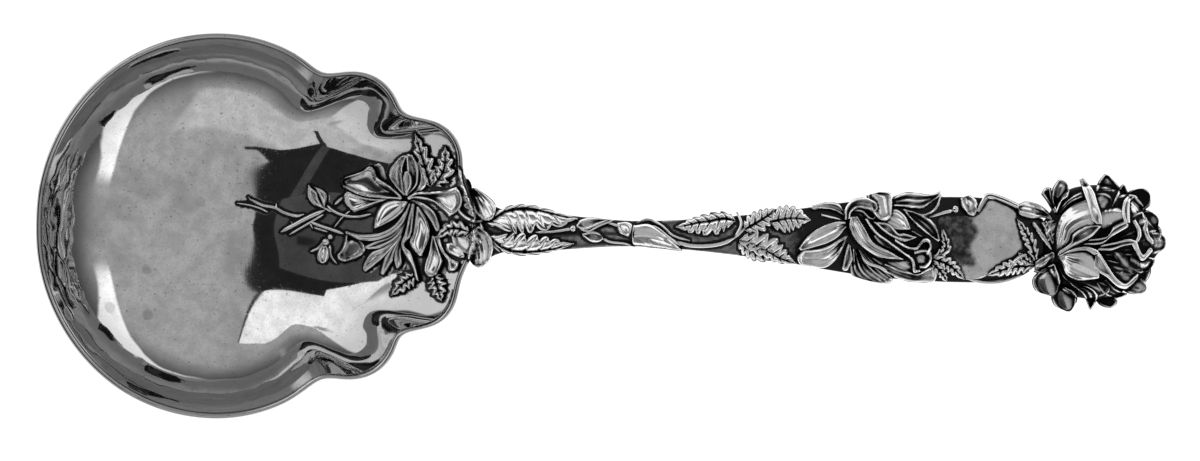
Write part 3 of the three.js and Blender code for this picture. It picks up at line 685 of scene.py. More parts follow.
place("shank-vine-branch", [
    rod([(103.2, -0.5), (104.4, 2.3), (103.5, 4.8)], 0.36, 0.3, 0.5),
    rod([(103.2, -0.5), (105.2, 1.5), (106.8, 3.2)], 0.3, 0.24, 0.5),
])
place("shank-leaf-tip", [
    leaf([(103.2, 3), (101.4, 3.4), (99.6, 3.2), (98, 2.8), (95.8, 2.5), (93.5, 1.9), (91.2, 1.5)],
         2.4, 7, skew=0.28, lean=0.9),
])
place("shank-leaf-upper", [
    leaf([(105.1, 1.2), (108.4, 3.2), (111.8, 5.5)], 2.4, 6, lean=0.9),
    leaf([(110.4, 2.9), (114.5, 3.7), (118.5, 3.4)], 2.9, 6, 0.6, jagged=0.3, lean=0.9),
])
place("shank-leaf-middle", [
    leaf([(104.1, -1), (106.9, -2.1), (108.5, -2.7), (110.4, -3.4), (112.2, -4.4), (115.8, -5.5)],
         2.6, 7, 0.5, skew=0.38, lean=0.9),
])
place("shank-leaf-lower", [leaf([(104, -1.4), (107.9, -3.6), (111.6, -4.7)], 1.9, 6, 0.3)])
print("pieces with neck and shank:", len(pieces))

# %% [markdown]
# ## The rose on the handle
# A half-open rose covers the widest part of the shank. Two long petals point back
# to the bowl, a big cup lies across the middle with a rolled mouth, and ruffled
# petals stand out to both edges of the handle.

# %% Petals of the handle rose
place("handle-rose-back", [
    petal([(126, 3.5), (128.2, -1), (132.3, -5.3), (137.6, -7.8), (142.8, -8.3)],
          [(128.6, 6.8), (133.8, 4.9), (138.5, 2.3), (142.6, -0.2), (144.1, -3.1)],
          0.35, 0.45, 0.3, 0.2, ribs=9, rib=0.1, size=(50, 60)),
    petal([(125.5, 3.4), (123.2, 3.1), (120.6, 2.1), (118, 0.3), (116.1, -2.3)],
          [(125.7, 1.8), (124.1, 0), (122.1, -1.2), (119.5, -2.1), (116.9, -2.8)],
          0.9, 1.0, 0.6, 0.35, ribs=4, rib=0.1),
    petal([(126, 0.5), (124.1, -0.6), (121.8, -1.9), (119.5, -2.5), (117.4, -2.6)],
          [(125.9, 0), (125, -2.3), (123.6, -4.7), (121.3, -6.2), (116.6, -5.7)],
          0.8, 0.9, 0.2, 0.35, ribs=4, rib=0.16),
    petal([(125.5, 3.4), (123.4, 4.1), (120.7, 4.7)], [(125.6, 3.2), (123.4, 3.7), (120.8, 4.3)],
          0.9, 0.7, 0.2, 0.2, size=(30, 10)),
    petal([(125.5, 5.2), (124, 6.8), (121.9, 7.1), (118.6, 6.3)],
          [(125.4, 4.1), (123.7, 5.1), (121.7, 5.6), (118.9, 5.6)],
          0.6, 0.7, 0.4, 0.25, ribs=3, rib=0.14, ruffle=0.15),
    petal([(126.1, -1.1), (125.4, -3.7), (125, -6.1)], [(126.8, -1.9), (127.2, -4.3), (126.3, -6.5)],
          0.7, 0.9, 0.5, 0.3),
    petal([(127, -2.2), (126.8, -5.7), (127.1, -7.6), (128.9, -8.3)],
          [(128.8, -2.5), (131.1, -4.8), (133.8, -6.7), (135.5, -8.2)],
          0.4, 0.6, 0.1, 0.3, ribs=6, rib=0.45, ruffle=0.15),
    petal([(133.7, -4.9), (136.4, -6.1), (138.7, -6.6), (140.4, -6.9), (143.1, -5.4)],
          [(133.9, -7), (136.4, -8.1), (139.3, -8.8), (143.7, -8.8)], 0.6, 0.9, 0.3, 0.35, ruffle=0.2),
    petal([(128.3, -2.2), (130, -4.4), (132.9, -5.6), (134.2, -6.4)],
          [(128.5, -2.8), (129.7, -5.1), (132.6, -6.2), (133.9, -7)], 1.0, 1.1, 0.2, 0.3, size=(36, 12)),
], ["handle_rose"])
place("handle-rose-top", [
    petal([(135.1, 8.4), (137.8, 9.4), (140.1, 9.3), (142.8, 9.1), (144.7, 9.7)],
          [(135.3, 6.4), (137.9, 6.2), (140.2, 6), (141.6, 6.3), (144.4, 8.6)],
          0.7, 1.2, 0.2, 0.35, ribs=3, rib=0.2, ruffle=0.25),
    petal([(135.6, 6), (138.5, 5.7), (141.4, 5.1), (143.7, 6.5), (144.8, 9.1)],
          [(137, 5.6), (139.9, 5.2), (141.7, 4.7), (144.1, 6.1), (145.2, 8.8)],
          0.9, 1.4, 0.2, 0.3, size=(44, 12)),
    petal([(137.2, 5.8), (139.1, 3.5), (141.4, 1.5), (144.4, -0.5)],
          [(137.7, 6), (141.1, 5), (143.8, 3), (144.9, -0.2)], 0.9, 1.3, -0.2, 0.4, ribs=3),
    petal([(132.4, 3.9), (134.5, 2.2), (136.8, 1.7), (138.6, 1.9)],
          [(133.2, 4.4), (135.6, 5.9), (137.7, 4.6), (138.9, 2)], 1.2, 1.5, 0.7, 0.25, ribs=4, rib=0.1),
    petal([(131.2, 3.4), (134.3, 3.1), (136.4, 1.1), (137.6, 1.1), (140.1, 0.4)],
          [(131.4, 3), (133.3, 1.3), (135.7, -0.1), (137.7, -0.6), (139.4, 0)],
          1.6, 1.9, 0.2, 0.35, ribs=1),
], ["handle_rose"])
place("handle-rose-cup", [
    petal([(131.3, 0.3), (132.8, -1.3), (135.1, -2.2), (137.5, -3.3)],
          [(132.2, 1), (134.5, -0.9), (137.5, -2.8), (139.7, -4.5)], 1.2, 1.4, 0.4, 0.2, ribs=2),
    petal([(126.4, 4.1), (126.2, 2.1), (127.3, -0.3), (129.3, -2.2), (132.3, -3.9), (137.4, -4.3)],
          [(128.1, 4.3), (129.6, 2.1), (131.4, -0.8), (134, -2.2), (137.3, -4)],
          1.6, 1.9, 0.9, 0.35, ribs=5, rib=0.1, size=(60, 40)),
    petal([(129.5, 3.8), (131.5, 1), (134.4, -1.1), (137.4, -3.1), (139.1, -4.5), (139.6, -6.8),
           (140.9, -6.6)],
          [(130, 3.9), (131.9, 1.3), (134.8, -0.8), (137.6, -2.8), (139.6, -4.2), (140, -6.3),
           (140.8, -6.3)], 2.0, 2.5, 0.1, 0.35, size=(64, 12)),
    petal([(135.7, -0.1), (138, -1.4), (140, -1.6), (141.4, 0), (142.6, -0.1), (143.2, -1.6),
           (142.5, -3.2)],
          [(135.7, -0.6), (138, -1.9), (140.1, -2.2), (141.5, -0.7), (142.4, -0.7), (142.7, -1.6),
           (142.1, -3)], 2.0, 2.3, 0.1, 0.35, size=(64, 12)),
    petal([(139.6, -2.6), (141.5, -2.1), (142.9, -2.5), (143.2, -4.3), (142.2, -5.8), (140.9, -5.9)],
          [(139.8, -3.2), (141.5, -2.7), (142.4, -3), (142.7, -4.3), (141.9, -5.3), (140.8, -5.5)],
          1.8, 2.1, 0.1, 0.35, size=(50, 12)),
], ["handle_rose", "handle_rose_heart"])
place("handle-rose-fold", [
    petal([(125.3, 3.6), (125.4, 5.7), (126.8, 7.6), (129.3, 8.2), (131.5, 7.5)],
          [(126.6, 3.9), (126.9, 5.1), (128, 6), (129.8, 5.8), (131.3, 5.2)],
          1.5, 2.0, 0.4, 0.4, ruffle=0.1),
    petal([(129.7, 8.6), (130.3, 6.8), (131.2, 5), (132.1, 4)],
          [(132.6, 9.4), (134.7, 9.1), (135, 7.2), (134.9, 4.8)], 1.2, 2.1, 0.3, 0.4, ribs=2),
    petal([(126.9, 5.4), (128.6, 5.3), (130.1, 4.1), (131, 3.8)],
          [(127.4, 6.2), (129.5, 6.5), (131.4, 6), (131.7, 4.8)], 1.2, 1.5, -0.4, 0.3),
], ["handle_rose"])
print("pieces with the handle rose:", len(pieces))

# %% [markdown]
# ## The plaque and its border
# Past the rose lies a smooth plaque, left bare. A rolled scroll, a striped bud and
# small leaves frame it.

# %% Bare plaque
plaque = petal([(152.1, -8.1), (149.7, -7.9), (146.8, -5.6), (145.3, -3), (145, -0.2), (144.3, 2.4),
                (144.9, 4.4), (150.1, 5.1), (153.2, 7), (154.4, 8.4)],
               [(153.2, -7.9), (154.6, -7.3), (156.8, -6.6), (159.5, -3.9), (161.4, -2.1), (162.2, 0.2),
                (161.8, 3.1), (160.8, 4.8), (159.3, 6.6), (157, 8.2), (155, 8.4)],
               0.3, 0.3, 0.3, 0.0, round_tip=0.0, size=(70, 60))
place("cartouche-plaque", [plaque], slot="polished_silver")

# %% Border of the plaque
place("cartouche-scroll", [
    petal([(148.8, 8.4), (149.1, 6.8), (150.4, 5.2)], [(150.9, 9.1), (152.3, 7.8), (152.3, 5.7)],
          0.9, 1.0, 0.4, 0.4),
    petal([(152.1, 6), (153.1, 7.8), (154.3, 9.5), (157, 9.1), (160.9, 7.5)],
          [(152.8, 5.6), (153.7, 7.1), (154.8, 8.5), (157, 8), (160.6, 6.5)],
          1.0, 1.0, 0.3, 0.4, size=(60, 14)),
])
place("cartouche-sprig-upper", [
    rod([(142, 4.2), (144.9, 5.2), (147.5, 5.9)], 0.26, 0.36, 0.6),
    knob(147.9, 6.1, 0.75, 0.6),
])
place("cartouche-sprig-left", [
    leaf([(143.6, -3.9), (146.1, -1.9), (145.2, 2.2)], 1.2, 5, 0.7),
    rod([(143.6, -3.9), (146.4, -1.6), (145.5, 2)], 0.2, 0.16, 1.2),
])
place("cartouche-leaf-low", [
    leaf([(143.4, -4), (146.8, -5.2), (150.1, -8.1)], 1.6, 6, 0.5),
    leaf([(143.3, -4.8), (145.1, -6.5), (146.6, -8.7)], 1.2, 5, 0.4),
])
place("cartouche-bud", [
    petal([(160.7, 7.3), (162.2, 8), (164.8, 7.5), (166.9, 6.1), (168.3, 3.8)],
          [(160.8, 6.4), (161.1, 5.3), (163.5, 4.6), (166.3, 4.7), (168.2, 3.6)],
          0.9, 0.8, 0.6, 0.3, ribs=4, rib=0.16),
])
place("cartouche-leaf-right", [
    petal([(164.6, -4), (166.2, -2.8), (168, -2)], [(164.2, -6.3), (166.2, -6.6), (168.2, -3.8)],
          0.7, 1.0, 0.6, 0.35, ribs=2),
    petal([(166.1, 2.8), (167, 4.2), (168.2, 4.6)], [(167.1, -0.3), (167.8, 0.8), (168.5, 1.4)],
          0.6, 0.9, 0.5, 0.3, ribs=2),
    leaf([(164.6, -4.1), (163.2, 0.2), (160.5, 4.6)], 1.4, 6, 0.6),
    petal([(163.6, 3.7), (164.9, 1.6), (166.3, -0.4), (167.6, -1.9)],
          [(164.3, 3.9), (165.7, 2), (167, 0.2), (167.9, -1.5)], 0.8, 1.0, 0.1, 0.3, size=(36, 12)),
    petal([(165.5, 3.7), (166.7, 1.4), (167.7, -0.6)], [(166.9, 4.2), (167.8, 2.3), (168.3, 0.3)],
          0.6, 0.9, 0.5, 0.25),
])
place("cartouche-leaf-base", [
    leaf([(164.2, -5), (159.8, -5.4), (154.5, -7.2)], 1.7, 7, 0.6),
    leaf([(163.9, -4.7), (162.4, -3.9), (160.9, -2.3)], 1.1, 4, 0.6),
    petal([(162.4, -2.5), (161.2, -2.9), (159.8, -4.2), (158.4, -6.3)],
          [(162.7, -3), (161.7, -3.6), (160.5, -4.9), (159.2, -6.6)], 0.9, 1.1, 0.2, 0.35, size=(36, 12)),
    rod([(150.5, -7.9), (154.1, -8.6), (158.4, -8.2), (163.3, -6.1)], 0.28, 0.3, 0.5),
])
print("pieces with the plaque:", len(pieces))

# %% [markdown]
# ## The rose at the end
# The handle ends in a full rose that lies on its side, open towards the end. A
# caster builds it round a core, so a flattened core comes first. Cheek petals
# bulge beside the stem, folded ribbons of petal edge run out from it, and ruffled
# lobes make the outline. The back of the rose is the same set turned under.

# %% Core of the rose
ROSE_SIDES = 64
ROSE_STATIONS = np.linspace(164, 190.4, 60)
FLOOR_GAP = 0.03


def rose_ring(x):
    turn = np.linspace(0, 2 * math.pi, ROSE_SIDES, endpoint=False)
    width = through(ROSE_WIDTH, np.array([x]))
    height = ROSE_LEVEL + ROSE_FLATNESS * width * np.sin(turn)
    return np.column_stack([np.full(ROSE_SIDES, x), width * np.cos(turn), height])


def turned_under(form):
    for vert in form.verts:
        vert.co.z = max(FLOOR_GAP, 2 * ROSE_LEVEL - vert.co.z)
    return form


def on_rose(*args, **more):
    return petal(*args, under=rose_ground, **more)


core_petals = [
    on_rose([(168.7, -0.7), (168.9, 3.3), (171.2, 6.8), (174.6, 8.9)],
            [(175.4, -1.8), (177.7, 0.6), (179.4, 3.5), (179.9, 8.5)], 0.15, 0.4, 0.5, 0.3, ribs=5),
    on_rose([(175.4, -0.6), (178.2, 3.5), (179.9, 6.4), (180.4, 9)],
            [(177.7, -1.1), (182.9, 1.3), (186, 3.6), (186.9, 6.6)], 0.15, 0.5, 0.5, 0.3, ribs=5),
    on_rose([(176.6, -0.9), (181.2, 1.2), (185.2, 3), (188.3, 4.3)],
            [(177.2, -2.9), (181.8, -2.8), (185.3, -2.7), (188.7, -1.5)], 0.15, 0.5, 0.5, 0.3, ribs=5),
    on_rose([(175.4, -2.1), (179.5, -3.4), (183.6, -3.9), (187, -3.3)],
            [(174.9, -4.1), (177.2, -6.4), (180.8, -8.9), (184.8, -9.7)], 0.15, 0.5, 0.5, 0.3, ribs=5),
    on_rose([(169.1, -3), (172, -5.3), (175.5, -7), (179.6, -8.6)],
            [(168.8, -4.8), (170.3, -7.7), (172.9, -9.3), (176.7, -11.3)], 0.15, 0.4, 0.5, 0.3, ribs=5),
]
core = grow_rings([rose_ring(x) for x in ROSE_STATIONS])
place("rose-core", core_petals + [core], ["rose_heart"])


# %% Cheeks, folds and ribbons
def upper_cheek():
    return [
        on_rose([(168.5, -2.2), (168.6, 1.6), (169.4, 4.9), (171.5, 7.1), (174.4, 8.5)],
                [(169.2, -2), (171.3, -0.1), (171.9, 1.4), (173.9, 2.8), (176.5, 3)],
                0.9, 1.5, 0.55, 0.05, ribs=6, rib=0.05),
        on_rose([(168.9, -2.8), (172.2, -0.8), (175.4, 1), (177.5, 3.1)],
                [(169.2, -1.9), (171.5, -0.2), (171.9, 1.4), (174.2, 3), (176.6, 3.4)],
                1.6, 2.1, -0.1, 0.3),
        on_rose([(176.6, 3.7), (175.5, 4.8), (174.7, 8), (173.9, 10.4), (173.2, 12.6)],
                [(177.7, 3.7), (177.6, 5.2), (176.7, 7.9), (175.9, 10.4), (174.1, 12.9)],
                2.1, 1.9, 0.15, 0.22, round_tip=0.2),
        on_rose([(168.9, 6.4), (170.9, 8.7), (173.5, 10.2)], [(169.3, 5.5), (171.4, 7.8), (173.8, 9)],
                0.5, 0.8, 0.2, 0.35, size=(34, 12)),
    ]


def lower_cheek():
    return [
        on_rose([(168.8, -3), (169.8, -4.6), (170.8, -6.7), (173.2, -7.8), (176.8, -7.6)],
                [(169.2, -2.6), (171.6, -1.9), (174.5, -1.6), (176.2, -2.9), (176.8, -5.3)],
                1.0, 1.2, 0.9, 0.05, ribs=6, rib=0.05),
        on_rose([(169.1, -2.9), (171.6, -1.5), (174.8, -1), (177, -1.7)],
                [(169.4, -3), (171.7, -2.1), (174.5, -1.7), (176.3, -2.6)],
                1.6, 2.1, 0.1, 0.28, size=(40, 12)),
        on_rose([(176.5, -2.9), (176.3, -5.3), (179, -7.1), (181.3, -9), (183.2, -9.3), (185, -7.6)],
                [(176.7, -1.5), (177.8, -2.9), (179.3, -5.2), (181, -7.4), (182.8, -8.3), (185.2, -6.3)],
                2.1, 2.0, 0.0, 0.28, size=(60, 20)),
        on_rose([(170.3, -7.4), (172.1, -9.1), (174.4, -10.8), (175.5, -13.1)],
                [(172.1, -8.7), (175.6, -9.2), (177.4, -10.7), (176.9, -12.3), (176, -13.7)],
                0.5, 1.0, 0.2, 0.4, ribs=3),
    ]


def middle_folds():
    return [
        on_rose([(177.1, 7), (179, 7.5), (181, 7.6), (182.4, 6.8)],
                [(177.7, 1.8), (179.4, 2.5), (181.1, 3.7), (182.4, 4.6)], 0.2, 0.2, 1.3, 0.0),
        on_rose([(174, -0.6), (177.7, -0.3), (180, 1.4), (183, 3.2)],
                [(175.3, 0.5), (178.8, 1.3), (180.2, 3.2), (182.3, 4.3)],
                1.4, 2.0, -0.1, 0.28, size=(50, 18)),
        on_rose([(182.3, 4.1), (181.8, 6.2), (182.2, 8.5), (183.4, 9.8)],
                [(183.4, 4.1), (183.3, 7), (183.6, 8.5), (184.8, 9.4)], 2.0, 1.8, 0.1, 0.25, round_tip=0.2),
    ]


def heart_folds():
    return [
        on_rose([(177.7, -1.4), (179.5, -2.9), (180.8, -5.1), (182.5, -6.9)],
                [(179.5, -1.1), (182.1, -1.4), (184.1, -2.8), (185.3, -4.5)],
                0.1, 0.0, 0.8, 0.0, ribs=4, rib=0.05),
        on_rose([(176.9, -1.6), (179.5, -1.6), (182.1, -0.7), (184.1, -0.3)],
                [(177.8, -0.6), (180.6, 0.1), (183.3, 0.7), (184.9, 0.3)],
                1.5, 2.2, -0.1, 0.28, size=(50, 18)),
        on_rose([(183.8, -0.2), (184.7, -1.8), (186.1, -3.6), (188.2, -1.6)],
                [(184.9, 0.2), (185.6, -1.5), (186.4, -2.4), (187.5, -1)],
                2.2, 1.9, 0.1, 0.25, size=(44, 14)),
        on_rose([(183.9, 4.4), (184.8, 3), (185, 1.6), (184.6, 0.4)],
                [(184.6, 4.7), (185.6, 3.1), (185.8, 1.5), (185.3, 0.3)],
                1.2, 1.6, 0.2, 0.25, size=(30, 12)),
        on_rose([(185.6, 6.9), (186.3, 4.5), (186.2, 2.2), (187.6, -0.1)],
                [(186.4, 7.1), (187.3, 4.5), (187.2, 2.5), (188.5, 0.3)],
                0.9, 1.3, 0.2, 0.25, size=(40, 14), ruffle=0.2),
    ]


# %% Ruffled lobes and sepals
def upper_lobes():
    return [
        on_rose([(179.3, 7), (180.4, 9.3), (181.3, 11.1), (181.9, 11.8)],
                [(182.2, 7.1), (183.1, 8.5), (183.1, 10), (182.6, 11.4)],
                0.4, 0.9, 0.4, 0.3, round_tip=0.4),
        on_rose([(175.3, 6.9), (176.3, 10.4), (177.2, 12.5), (178.3, 13.9)],
                [(180.5, 7), (181.6, 9.4), (181.4, 11.1), (179.2, 13.6)],
                0.1, 1.2, 0.3, 0.35, round_tip=0.2),
        on_rose([(180.5, 7), (182.2, 9.4), (183.6, 10.6), (185, 11)],
                [(183.7, 5.9), (186, 6.5), (187.6, 7.7), (187.7, 9.6)],
                0.5, 1.1, -0.2, 0.4, ribs=3, round_tip=0.5),
        on_rose([(183.4, 5.3), (185.7, 6.5), (187.4, 6.6), (188.3, 6)],
                [(184.3, 1.9), (186.6, 1.9), (188.7, 2.2), (189.2, 3.4)],
                0.5, 0.9, 0.4, 0.3, ribs=2, round_tip=0.5),
        on_rose([(184, 1.6), (186.9, 2.2), (189.2, 2.3), (190.6, 1.4)],
                [(184.4, -1.9), (187, -2.4), (189, -2.1), (190.5, -1.2)],
                0.5, 0.9, 0.4, 0.3, round_tip=0.4),
    ]


def lower_lobes():
    return [
        on_rose([(184.1, -1.6), (186.1, -2.1), (187.6, -2.7), (188.5, -3)],
                [(183.3, -5.1), (185.3, -6.2), (186.8, -6.2), (187.8, -5.3)],
                0.5, 0.9, 0.4, 0.3, ribs=2, round_tip=0.5),
        on_rose([(183, -5.1), (185.4, -6.5), (186.8, -7.6), (187.2, -8.8)],
                [(180.2, -7.2), (182.2, -9.5), (184, -10.4), (186.1, -10.3)],
                0.5, 1.1, 0.5, 0.3, round_tip=0.5),
        on_rose([(179, -7.5), (180.8, -9.2), (182.2, -10), (183.3, -10.3)],
                [(176.7, -8.4), (177.9, -10.1), (179.4, -11.1), (181, -11.4)],
                0.5, 0.9, 0.4, 0.3, round_tip=0.4),
        on_rose([(177.9, -10.1), (179.3, -10.8), (180.5, -11.2), (181.3, -11.7)],
                [(176.7, -11.3), (177.6, -12.6), (178.8, -13.2), (180, -13.3)],
                0.4, 0.7, 0.4, 0.3, round_tip=0.45),
    ]


def upper_sepals():
    return [
        on_rose([(168.1, 5.6), (166.6, 8.1), (165.5, 9.5)], [(168.5, 6.2), (167.7, 8.8), (167.5, 10.8)],
                0.5, 0.8, 0.4, 0.4, ribs=2),
        on_rose([(168.3, 5.9), (167.5, 8.7), (167.8, 10.8), (168.8, 12.4)],
                [(168.8, 5.9), (169.8, 8.2), (171.1, 9.3), (170.9, 11.3)], 0.6, 0.9, 0.6, 0.4),
    ]


def lower_sepals():
    return [
        on_rose([(168, -4.5), (165.7, -5.8), (164, -7.8), (164.6, -10), (166.8, -10.7)],
                [(168.6, -5), (169.5, -7.1), (169.5, -9.1), (168.6, -10.8)], 0.6, 0.9, 0.6, 0.4),
        on_rose([(169.2, -9), (167.9, -11.1), (168.6, -13), (170.5, -13.9)],
                [(170.9, -9.4), (172.6, -10.2), (173.2, -11.8), (172.2, -13.6)], 0.5, 0.8, 0.6, 0.4),
    ]


# %% Setting the rose together
ROSE_PARTS = [
    ("rose-upper-cheek", upper_cheek, ["rose_outer_petal_1"], ["rose_outer_petal_2"]),
    ("rose-lower-cheek", lower_cheek, ["rose_outer_petal_5"], ["rose_outer_petal_4"]),
    ("rose-middle-folds", middle_folds, ["rose_middle_petal_1"], ["rose_outer_petal_3"]),
    ("rose-heart-folds", heart_folds, ["rose_inner_petal_1"], ["rose_inner_petal_2", "rose_inner_petal_3"]),
    ("rose-upper-lobes", upper_lobes, ["rose_middle_petal_2"], ["rose_middle_petal_3"]),
    ("rose-lower-lobes", lower_lobes, ["rose_middle_petal_5"], ["rose_middle_petal_4"]),
    ("rose-upper-sepals", upper_sepals, ["rose_sepal_1"], ["rose_sepal_2"]),
    ("rose-lower-sepals", lower_sepals, ["rose_sepal_3"], ["rose_sepal_4"]),
]
for name, forms, front, back in ROSE_PARTS:
    place(name, forms(), front)
    place(name + "-under", [turned_under(form) for form in forms()], back)
hidden = sum(node.hide_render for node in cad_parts.values())
print("pieces:", len(pieces), "CAD nodes stood for:", hidden, "of", len(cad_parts))

# %% [markdown]
# ## Where the dark stays
# A silversmith darkens the whole relief and then polishes it, so the dark stays
# in the hollows and the high places shine. A render could work that out anew each
# time, but then it would be lost outside this scene. Here it is measured once: a
# map of the heights seen from above is blurred, and whatever lies below its
# surroundings is a hollow. Each vertex keeps the result as an attribute.

# %% Height map of the spoon
CELL = 0.22
MAP_LOW = np.array([-42.0, -42.0])
MAP_SIZE = (1080, 384)
EMPTY = -99.0


def vertices_of(piece):
    spots = np.empty(len(piece.data.vertices) * 3)
    piece.data.vertices.foreach_get("co", spots)
    return spots.reshape(-1, 3) / MM


def cell_of(spots):
    cell = ((spots[:, :2] - MAP_LOW) / CELL).astype(int)
    return tuple(np.clip(cell, 0, np.array(MAP_SIZE) - 1).T)


def height_map(parts, flip=1.0, spread=3):
    tall = np.full(MAP_SIZE, EMPTY)
    for piece in parts:
        spots = vertices_of(piece)
        np.maximum.at(tall, cell_of(spots), flip * spots[:, 2])
    for _ in range(spread):
        padded = np.pad(tall, 1, constant_values=EMPTY)
        around = [padded[a:a + MAP_SIZE[0], b:b + MAP_SIZE[1]] for a in range(3) for b in range(3)]
        tall = np.where(tall > EMPTY, tall, np.max(around, axis=0))
    return tall


def blurred(tall, reach):
    known = (tall > EMPTY).astype(float)
    steps = np.arange(-math.ceil(3 * reach / CELL), math.ceil(3 * reach / CELL) + 1)
    weights = np.exp(-0.5 * (steps * CELL / reach) ** 2)
    total, share = np.where(known > 0, tall, 0), known
    for axis in (0, 1):
        total = sum(w * np.roll(total, s, axis) for s, w in zip(steps, weights))
        share = sum(w * np.roll(share, s, axis) for s, w in zip(steps, weights))
    return total / np.maximum(share, 1e-6)


# %% Hollows, and the ground beside a casting
NEAR, WIDE, TOUCH = 0.38, 1.3, 0.2
castings = [piece for name, piece in pieces.items() if name not in ("raised-bowl", "arched-shank")]
touching = blurred(np.where(height_map(castings, spread=1) > EMPTY, 1.0, 0.0), TOUCH)
blurs = {}
for flip in (1.0, -1.0):
    heights = height_map(pieces.values(), flip)
    blurs[flip] = blurred(heights, NEAR), blurred(heights, WIDE)


def hollows(spots, flip):
    near, wide = blurs[flip]
    height = flip * spots[:, 2]
    close = np.clip((near[cell_of(spots)] - height) / 0.5, -1, 1)
    broad = np.clip((wide[cell_of(spots)] - height) / 1.6, -1, 1)
    return np.clip(0.75 * close + 0.25 * broad, -0.4, 1)


def beside_castings(spots):
    return np.clip(1.7 * touching[cell_of(spots)] - 0.1, 0, 1)


# %% [markdown]
# ## Tones of single pieces
# Hollows alone don't tell all. The open ground of the shank is darkened between
# the castings. On the end rose, painted shade darkens every place that lies low
# over its core, beyond the oxide in its hollows, and the stem end of the core is
# painted dark as the shade in the gap at the hub. The rose's back stays paler, and
# what hangs over the shank's edge is bright. A dark reflection is painted on the
# half of the plaque towards the bowl. A second attribute says how worn each place
# is; on the bowl it only makes the wall duller towards the rim.

# %% Dark and worn places
GROUND_FROM, GROUND_TO, GROUND_DARKER = 50, 168, 112
BESIDE_FROM = 47
TRIM_MIDDLE, TRIM_REACH = 108, 57
HUB_SHADE_END = 170
PLAQUE_REFLECTION_EDGE = 153


def measured(name, spots):
    x, z = spots[:, 0], spots[:, 2]
    if name == "arched-shank":
        between = smooth_step((x - GROUND_FROM) / 4) * smooth_step((GROUND_TO - x) / 4)
        open_ground = between * (0.3 + 0.25 * smooth_step((x - GROUND_DARKER) / 8))
        beside = beside_castings(spots) * smooth_step((x - BESIDE_FROM) / 3)
        return np.where(z > through(LINE, x) + 0.2, np.maximum(open_ground, beside), 0)
    return hollows(spots, -1.0 if name.endswith("-under") else 1.0)


def darkened(name, spots, dark):
    x, y, z = spots.T
    if name == "raised-bowl":
        return np.where(z > dish(x, y) - 0.3, beside_castings(spots), 0)
    if name.startswith("rose-"):
        # Painted shade: places of the end rose that lie low over its core are darkened beyond their
        # hollows, so petal edges go dark and high places stay bright
        over = np.abs(z - ROSE_LEVEL) - (rose_ground(x, y) - ROSE_LEVEL)
        dark = 0.8 * dark + 0.55 * smooth_step((1.9 - over) / 1.2)
    if name.endswith("-under"):
        dark = 0.6 * np.minimum(dark, 0.5)
    over_edge = (np.abs(x - TRIM_MIDDLE) < TRIM_REACH) & (np.abs(y) > through(HALF_WIDTH, x))
    dark = np.where(over_edge & (z < ground(x, y)), 0.1, dark)
    # Painted shade: the stem end of the core is painted dark as the shade in the gap at the hub
    if name == "rose-core":
        dark = np.maximum(dark, smooth_step((HUB_SHADE_END - x) / 2))
    # Painted reflection: the half of the plaque towards the bowl is darkened as a dark reflection, with a
    # wavy edge
    if name == "cartouche-plaque":
        reflection_edge = PLAQUE_REFLECTION_EDGE + 0.7 * np.sin(0.9 * y) - x
        dark = np.maximum(dark, 0.42 * smooth_step(reflection_edge / 2) * smooth_step((y + 6.5) / 2))
    return dark


def wear(name, spots, dark):
    x, y = spots[:, :2].T
    if name == "cartouche-plaque":
        return np.ones(len(spots))
    # On the bowl the colour only grows duller from the floor up to the rim
    if name == "raised-bowl":
        share = np.hypot(x, y) / rim_radius(np.arctan2(y, x))
        return 1 - 0.8 * smooth_step((share - 0.66) / 0.2)
    return np.clip(0.32 - 5 * dark, 0, 1)


# %% Tones on every piece
for name, piece in pieces.items():
    spots = vertices_of(piece)
    dark = measured(name, spots)
    tones = {"patina_and_painted_shade": np.clip(darkened(name, spots, dark), 0, 1), "worn": wear(name, spots, dark)}
    for key, value in tones.items():
        piece.data.attributes.new(key, "FLOAT", "POINT").data.foreach_set("value", value)
print("patina written on", len(pieces), "pieces")

# %% [markdown]
# ## Silver
# Old silver is a bright, neutral grey mirror with a history: pits like pin pricks,
# cloudy tarnish, round stains and fine rubbing marks. The mirror is a metallic
# Principled shader. Noise clouds its roughness, small spots dent it, and stretched
# noise gives the rubbing marks. Where little has been worn away the sheet is left a
# bit uneven. The dark attribute turns oxidised hollows nearly black, and with them
# the painted shade on the end rose and the painted reflection on the plaque. Scales
# are per metre.

# %% Node helpers
def node(tree, kind, **sockets):
    made = tree.nodes.new(kind)
    for key, value in sockets.items():
        made.inputs[key.replace("_", " ")].default_value = value
    return made


def ramp(tree, source, low, high, start, end):
    made = node(tree, "ShaderNodeMapRange", From_Min=low, From_Max=high, To_Min=start, To_Max=end)
    made.interpolation_type = "SMOOTHSTEP"
    tree.links.new(source, made.inputs["Value"])
    return made.outputs["Result"]


def feed(tree, value, socket):
    if hasattr(value, "links"):
        tree.links.new(value, socket)
    else:
        socket.default_value = value


def maths(tree):
    def join(kind, first, second=0.0):
        made = tree.nodes.new("ShaderNodeMath")
        made.operation = kind
        feed(tree, first, made.inputs[0])
        feed(tree, second, made.inputs[1])
        return made.outputs[0]
    return join


def attribute(tree, name):
    made = tree.nodes.new("ShaderNodeAttribute")
    made.attribute_name = name
    return made.outputs["Fac"]


